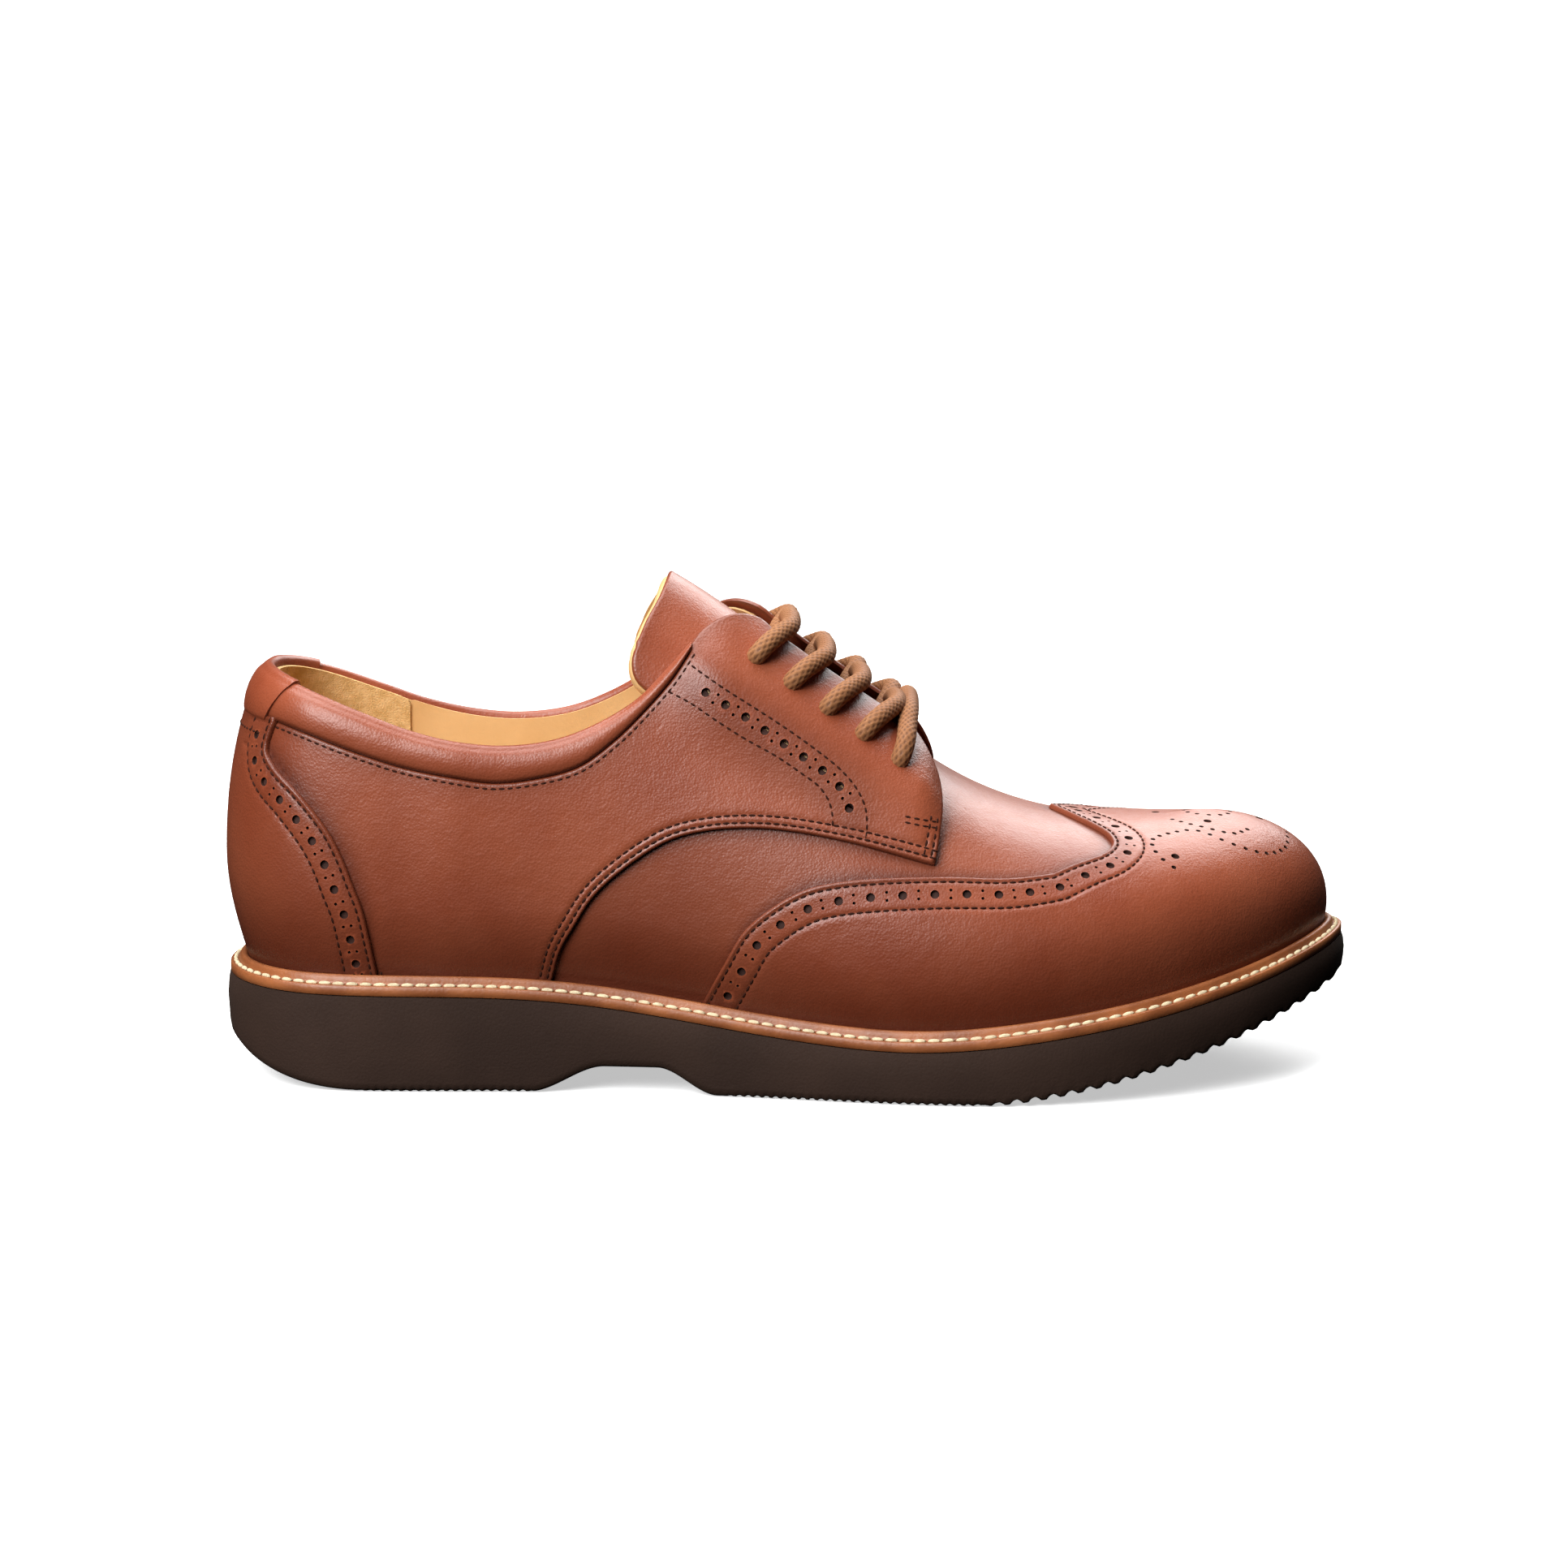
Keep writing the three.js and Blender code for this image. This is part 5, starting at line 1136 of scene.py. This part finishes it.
def round_heel(tables, v):
    """Reads an outer and an inner table of heights as one run past the heel."""
    far, near_ = tables[1], tables[0]
    vs = np.concatenate([far[:, 0] - 2, near_[:, 0]])
    ts = np.concatenate([far[:, 1], near_[:, 1]])
    keep = (vs < -0.02) | (vs > 0.02)
    return np.interp(v, vs[keep], ts[keep])


def roll_face(x, t):
    """The collar's face: the quarter's, a little further out at the heel."""
    return quarter_face(x, t) + OVERLAP * (1 - ease(x, 48, 66)) * 0.4


collar = roll_over("collar_roll", upper_calf, roll_v, round_heel(seam_t, roll_v), round_heel(top_t_, roll_v),
                   roll_face, 3.4, 1.15)
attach(collar, "shoe")
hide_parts("collar_lateral", "collar_medial", "collar_foam")

tab_foot = float(locate(np.array([[14.2, 97.9]]), (0, 2), False)[0, 0])
tab_head = float(locate(np.array([[22.0, 107.4]]), (0, 2), False)[0, 0])
tab_v = np.linspace(-tab_foot, tab_foot, 60)
tab_high = round_heel(top_t_, tab_v * tab_head / tab_foot) + 0.006
tab = roll_over("heel_tab_roll", upper_calf, tab_v, round_heel(seam_t, tab_v) - 0.008, tab_high,
                lambda x, t: roll_face(x, t) + 0.6, 4.4, 1.15, lean=tab_head / tab_foot - 1)
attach(tab, "shoe")
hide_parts("heel_tab")
sew("heel_tab_stitches", [np.stack([tab_v, round_heel(seam_t, tab_v) - 0.026], -1)], 1.5)


# ---------------------------------------------------------------- linings
# Smooth tan lining leather inside the quarters, with a suede grip at the heel. They end just
# under the collar's top edge.
lining_leather = finish("lining_leather", (0.62, 0.36, 0.14), (0.74, 0.47, 0.21), 0.5, 0.22, 35, 1000)
suede = finish("grip_suede", (0.60, 0.36, 0.13), (0.74, 0.48, 0.21), 0.95, 1.0, 420, 2200)


def lining_face(x, t):
    """The lining's face: it follows the facings outwards and stays under the quarter's leather."""
    rise = facing_rise(x, t)
    return rise + OVERLAP * rise / FACING_LIFT - 2.0


lining_top = [(x, z - 1.4) for x, z in TOPLINE]
lining_facing = [(x - 1.2, z - 1.2) for x, z in FACING[5:]]
lining_shown = np.vstack([smooth_line(lining_facing), smooth_line(lining_top)[1:]])
lining_outline = np.vstack([
    lining_shown, [(8, 60), (8, 20), (112, 20), (112, 71), (121, 78.4), (142, 82), (165, 79.4), (182, 77)]])
LINING_BACK = 46
for inner in (False, True):
    side = "medial" if inner else "lateral"
    edge_vt = locate(lining_shown, (0, 2), inner, quarter_face)
    edge_line = on_form(edge_vt)

    def lining_field(v, t, p, edge_line=edge_line):
        lifted = p + outward(v, t) * quarter_face(p[:, 0], t)[:, None]
        inside = within(lifted[:, 0], lifted[:, 2], lining_outline) & (p[:, 0] > LINING_BACK)
        d = np.minimum(reach_to(p, edge_line), np.abs(p[:, 0] - LINING_BACK))
        return np.where(inside, d, -d)

    lining = panel("quarter_lining_" + side + "_skin", lining_leather, (1.4, 1.93) if inner else (0.07, 0.6),
                   lining_field, lining_face, 0.9, pitch=(0.007, 0.016))
    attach(lining, "shoe")
    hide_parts("quarter_lining_" + side)


def vamp_lining_field(v, t, p):
    shape = np.array(VAMP_REAR + [(187, 78), (187, 200), (360, 200), (360, 0), (78, 0)])
    inside = within(p[:, 0], p[:, 2], shape)
    d = reach_to(p[:, [0, 2]], shape[:len(VAMP_REAR) + 2])
    return np.where(inside, d, -d) + 4


vamp_lining = panel("vamp_lining_skin", lining_leather, (0.2, 1.8), vamp_lining_field,
                    lambda x, t: 0 * x - 1.4, 0.55, pitch=(0.008, 0.02))
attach(vamp_lining, "shoe")
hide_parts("vamp_lining")


GRIP_FRONT = 47


def grip_field(v, t, p):
    line = smooth_line(lining_top)
    shape = np.vstack([line, [(-20, 111.5), (-20, 20), (120, 20)]])
    inside = within(p[:, 0], p[:, 2], shape) & (p[:, 0] < GRIP_FRONT)
    d = np.minimum(reach_to(p[:, [0, 2]], line), np.abs(p[:, 0] - GRIP_FRONT))
    return np.where(inside, d, -d)


grip = panel("heel_grip_suede", suede, (-0.21, 0.21), grip_field, lambda x, t: 0 * x - 2.2, 1.5, pitch=(0.006, 0.014))
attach(grip, "shoe")
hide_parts("heel_grip")


# ---------------------------------------------------------------- tongue
# A padded tongue: burnished calf outside, foam, and lining leather turned to the foot. It is sewn to the vamp at the
# throat.
TONGUE_EDGE = [
    (186.4, 84), (172, 84.5), (160, 87.5), (146, 92.5), (132, 98), (119, 104), (112.5, 109), (111.5, 115), (115, 124),
    (119, 131), (122, 138),
]


def tongue_level(depth):
    """The tongue's face, sunk under the form: deeper at its sides than along the crown."""
    return lambda x, t: -depth - 3.4 * (1 - ease(np.maximum(t, 0), 0.52, 0.72))


def tongue_field_for(grow_by):
    """The tongue's outline as a field, made wider by grow_by."""
    outline = np.vstack([smooth_line(TONGUE_EDGE), [(150, 170), (186.4, 150)]])
    lines = [on_form(side_line(TONGUE_EDGE[:-2], inner, tongue_level(0))) for inner in (False, True)]

    def field(v, t, p):
        lifted = p + outward(v, t) * tongue_level(0)(p[:, 0], t)[:, None]
        inside = within(lifted[:, 0], lifted[:, 2], outline)
        d = np.minimum(reach_to(p, lines[0]), reach_to(p, lines[1]))
        top = reach_to(lifted[:, [0, 2]], smooth_line(TONGUE_EDGE[-4:]))
        d = np.minimum(d, top)
        return np.where(inside, d, -d) + grow_by

    return field


tongue = panel("tongue_leather", upper_calf, (0.3, 1.7), tongue_field_for(0.0), tongue_level(0.3), 1.2,
               burnish=lambda p, d: 0.25 * np.exp(-np.maximum(d, 0) / 3))
pad = panel("tongue_pad", lining_leather, (0.3, 1.7), tongue_field_for(0.5), tongue_level(1.55), 3.6,
            roll=2.2, pitch=(0.006, 0.014))
for piece, nodes in ((tongue, ("tongue",)), (pad, ("tongue_foam", "tongue_lining"))):
    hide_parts(*nodes)
    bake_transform(piece)


# ---------------------------------------------------------------- lace
# One round braided cotton lace, laced in crosses from a straight bar at the bottom pair of
# eyelets; both ends go in at the top pair and are tucked forward beside the tongue.
LACE_RADIUS = 2.6
OVER = LACE_RADIUS + 0.15
LACE_BED = LACE_RADIUS + 0.2
OUTBOARD = 0.036
eyes = {"lateral": quarters["lateral"][1], "medial": quarters["medial"][1]}
mirror_v = lambda side, w: 2 - w if side == "medial" else w
eye_w = {s: (2 - e[:, 0] if s == "medial" else e[:, 0]) for s, e in eyes.items()}
eye_t = {s: e[:, 1] for s, e in eyes.items()}
EDGE_T = {}
for inner in (False, True):
    side = "medial" if inner else "lateral"
    edge_vt = locate(smooth_line(FACING[4:12]), (0, 2), inner, quarter_face)
    w_ = 2 - edge_vt[:, 0] if inner else edge_vt[:, 0]
    order = np.argsort(w_)
    EDGE_T[side] = (w_[order], edge_vt[order, 1])


def put(side, w, t, height):
    """A point over the form, on one side of the shoe."""
    v = np.array([mirror_v(side, w)])
    t = np.array([min(t, 1.0)])
    return (form(v, t) + outward(v, t) * height)[0]


def face_at(side, w, t):
    """The facing's height at a place."""
    p = form(np.array([mirror_v(side, w)]), np.array([t]))
    return float(quarter_face(p[:, 0], np.array([t]))[0])


def crossing(a, b, k, high):
    """Out of eyelet k on side a, over its facing, down into the gap and up through k + 1 on side b."""
    w, t, w2, t2 = eye_w[a][k], eye_t[a][k], eye_w[b][k + 1], eye_t[b][k + 1]
    step = w2 - w
    edge_a, edge_b = np.interp(w, *EDGE_T[a]), np.interp(w2, *EDGE_T[b])

    def over(share, on, extra):
        tt = t + (edge_a - t) * share
        ww = w + step * on
        return put(a, ww, tt, face_at(a, ww, tt) + OVER + extra)

    under = lambda share, on: put(b, w + step * on, t2 + (edge_b - t2) * share, LACE_BED)
    return [
        put(a, w, t, face_at(a, w, t) + 0.4), over(0.20, 0.14, -0.2), over(0.58, 0.40, 0), over(1.0, 0.64, -0.3),
        put(a, w + step * 0.76, 1, LACE_BED + 1.75 * LACE_RADIUS if high else LACE_BED), under(1.1, 0.86),
        under(0.5, 0.95), under(0.08, 1), put(b, w2, t2, LACE_BED + 1.9),
    ]


def tail(side):
    """From the top eyelet's face down, outboard, and forward beside the tongue."""
    w, t = eye_w[side], eye_t[side]
    lie = lambda k: put(side, w[k], t[k] - OUTBOARD, LACE_BED - 0.3)
    return [
        put(side, w[0], t[0], face_at(side, w[0], t[0])), put(side, w[0], t[0], LACE_BED + 4),
        put(side, w[0], t[0], LACE_BED + 1.8), put(side, w[0] + 0.001, t[0] - OUTBOARD * 0.08, LACE_BED + 0.3),
        put(side, w[0] + 0.006, t[0] - OUTBOARD * 0.5, LACE_BED - 0.3),
        put(side, w[0] + 0.014, t[0] - OUTBOARD, LACE_BED - 0.3), *(lie(k) for k in (1, 2, 3)),
    ]


def half(first):
    """One half of the route: a tail, then four crossings down to the bottom eyelet."""
    sides = (first, "medial" if first == "lateral" else "lateral")
    points = tail(first)[::-1][:-1]
    for k in range(4):
        points += crossing(sides[k % 2], sides[(k + 1) % 2], k, sides[k % 2] == "lateral")
    return points


def bar(side):
    """Half of the straight bar over the bottom pair, from its eyelet to the facing's edge."""
    w, t = eye_w[side][4], eye_t[side][4]
    edge_t = np.interp(w, *EDGE_T[side])
    over = lambda share: put(side, w, t + (edge_t - t) * share, face_at(side, w, t + (edge_t - t) * share) + OVER)
    return [put(side, w, t, face_at(side, w, t) + 0.4), over(0.16), over(0.55), over(1)]


route = half("lateral") + bar("lateral") + bar("medial")[::-1] + half("medial")[::-1]
lace_path = smooth_line(route, 0.35)
run = np.concatenate([[0], np.cumsum(np.linalg.norm(np.diff(lace_path, axis=0), axis=1))])
LACE_LENGTH = float(run[-1])
BRAID_STEP = 0.36
steps = int(LACE_LENGTH / BRAID_STEP)
lace_path = np.stack([np.interp(np.linspace(0, LACE_LENGTH, steps), run, lace_path[:, k]) for k in range(3)], -1)
for _ in range(3):
    lace_path[1:-1] = (lace_path[:-2] + 2 * lace_path[1:-1] + lace_path[2:]) / 4


def carry(path):
    """Frames carried along a path without twist: side and up at each point."""
    forward = np.gradient(path, axis=0)
    forward /= np.linalg.norm(forward, axis=1, keepdims=True)
    up = np.zeros_like(forward)
    u = np.cross(forward[0], [0, 1, 0.3])
    for i, f in enumerate(forward):
        u = u - f * (u @ f)
        u /= np.linalg.norm(u)
        up[i] = u
    return np.cross(forward, up), up


BRAID_PITCH = 2.3
STRANDS = 10
BRAID_SIDES = 44
around = np.linspace(0, 2 * np.pi, BRAID_SIDES, endpoint=False)
side_, up_ = carry(lace_path)
s_along = np.linspace(0, LACE_LENGTH, steps)[:, None]
wind = STRANDS * around[None, :]
one, two = (np.abs(np.sin((wind + way * 2 * np.pi * s_along / BRAID_PITCH) / 2)) for way in (1, -1))
woven = np.maximum(one**0.7 * (0.9 + 0.1 * two), two**0.7 * (0.9 + 0.1 * one) - 0.12)
radius = LACE_RADIUS * (0.84 + 0.18 * woven)
tube = lace_path[:, None] + radius[..., None] * (
    np.cos(around)[None, :, None] * side_[:, None] + np.sin(around)[None, :, None] * up_[:, None])
m = len(around)
tube_faces = [(i * m + k, i * m + (k + 1) % m, (i + 1) * m + (k + 1) % m, (i + 1) * m + k)
              for i in range(steps - 1) for k in range(m)]
tube_faces += [tuple(reversed(range(m))), tuple((steps - 1) * m + k for k in range(m))]
# Painted shade: the lace is darkened in the hollows between the braid's strands.
cotton = burnished("lace_cotton", (0.36, 0.155, 0.058), (0.29, 0.115, 0.040), (0.10, 0.034, 0.012), gloss=0.8)
lace = solid("lace_braid", tube.reshape(-1, 3), tube_faces, cotton, sharp=80,
             burnish=np.clip((1 - woven.ravel()) * 1.6, 0, 1))
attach(lace, "shoe")
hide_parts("lace")


# ---------------------------------------------------------------- footbed and hidden pieces
# A padded leather footbed lies over foam on the insole board. Cork, shank, board, toe puff,
# stiffener and the eyelet rings keep their frame shapes, each in its own material.
FOOTBED_BASE = 12.9
pad_levels = [
    (-4.6, lambda x: sole_top(x) + 8.5), (-4.2, lambda x: sole_top(x) + FOOTBED_BASE - 0.6),
    (-5.2, lambda x: sole_top(x) + FOOTBED_BASE + 0.6), (-8.0, lambda x: sole_top(x) + FOOTBED_BASE + 0.9),
]
footbed = solid("footbed_pad", *slab(pad_levels, 160), lining_leather, sharp=60)
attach(footbed, "shoe")
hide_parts("footbed_cover", "footbed_foam")

cork = finish("cork_paste", (0.20, 0.11, 0.05), (0.34, 0.20, 0.10), 0.9, 0.6, 300, 1400)
board = finish("pressed_board", (0.30, 0.19, 0.09), (0.38, 0.25, 0.13), 0.85, 0.3, 200, 1500)
steel = finish("spring_steel", (0.36, 0.37, 0.38), (0.46, 0.47, 0.48), 0.35, 0.15, 80, 900, metallic=1.0)
ring_metal = finish("aged_eyelet", (0.10, 0.065, 0.03), (0.16, 0.11, 0.05), 0.4, 0.15, 200, 1200, metallic=1.0)
dark_board = finish("stained_board", (0.040, 0.014, 0.008), (0.055, 0.02, 0.012), 0.85, 0.3, 200, 1500)
hidden = {
    "cork_filler": cork, "shank": steel, "insole_board": board, "toe_puff": dark_board,
    "heel_stiffener": dark_board, "aglet_lateral": ring_metal, "aglet_medial": ring_metal,
}
hidden.update({name: ring_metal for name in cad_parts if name.startswith("eyelet_")})
for name, material in hidden.items():
    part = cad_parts[name]
    if not part.material_slots:
        part.data.materials.append(material)
    for slot in part.material_slots:
        slot.material = material
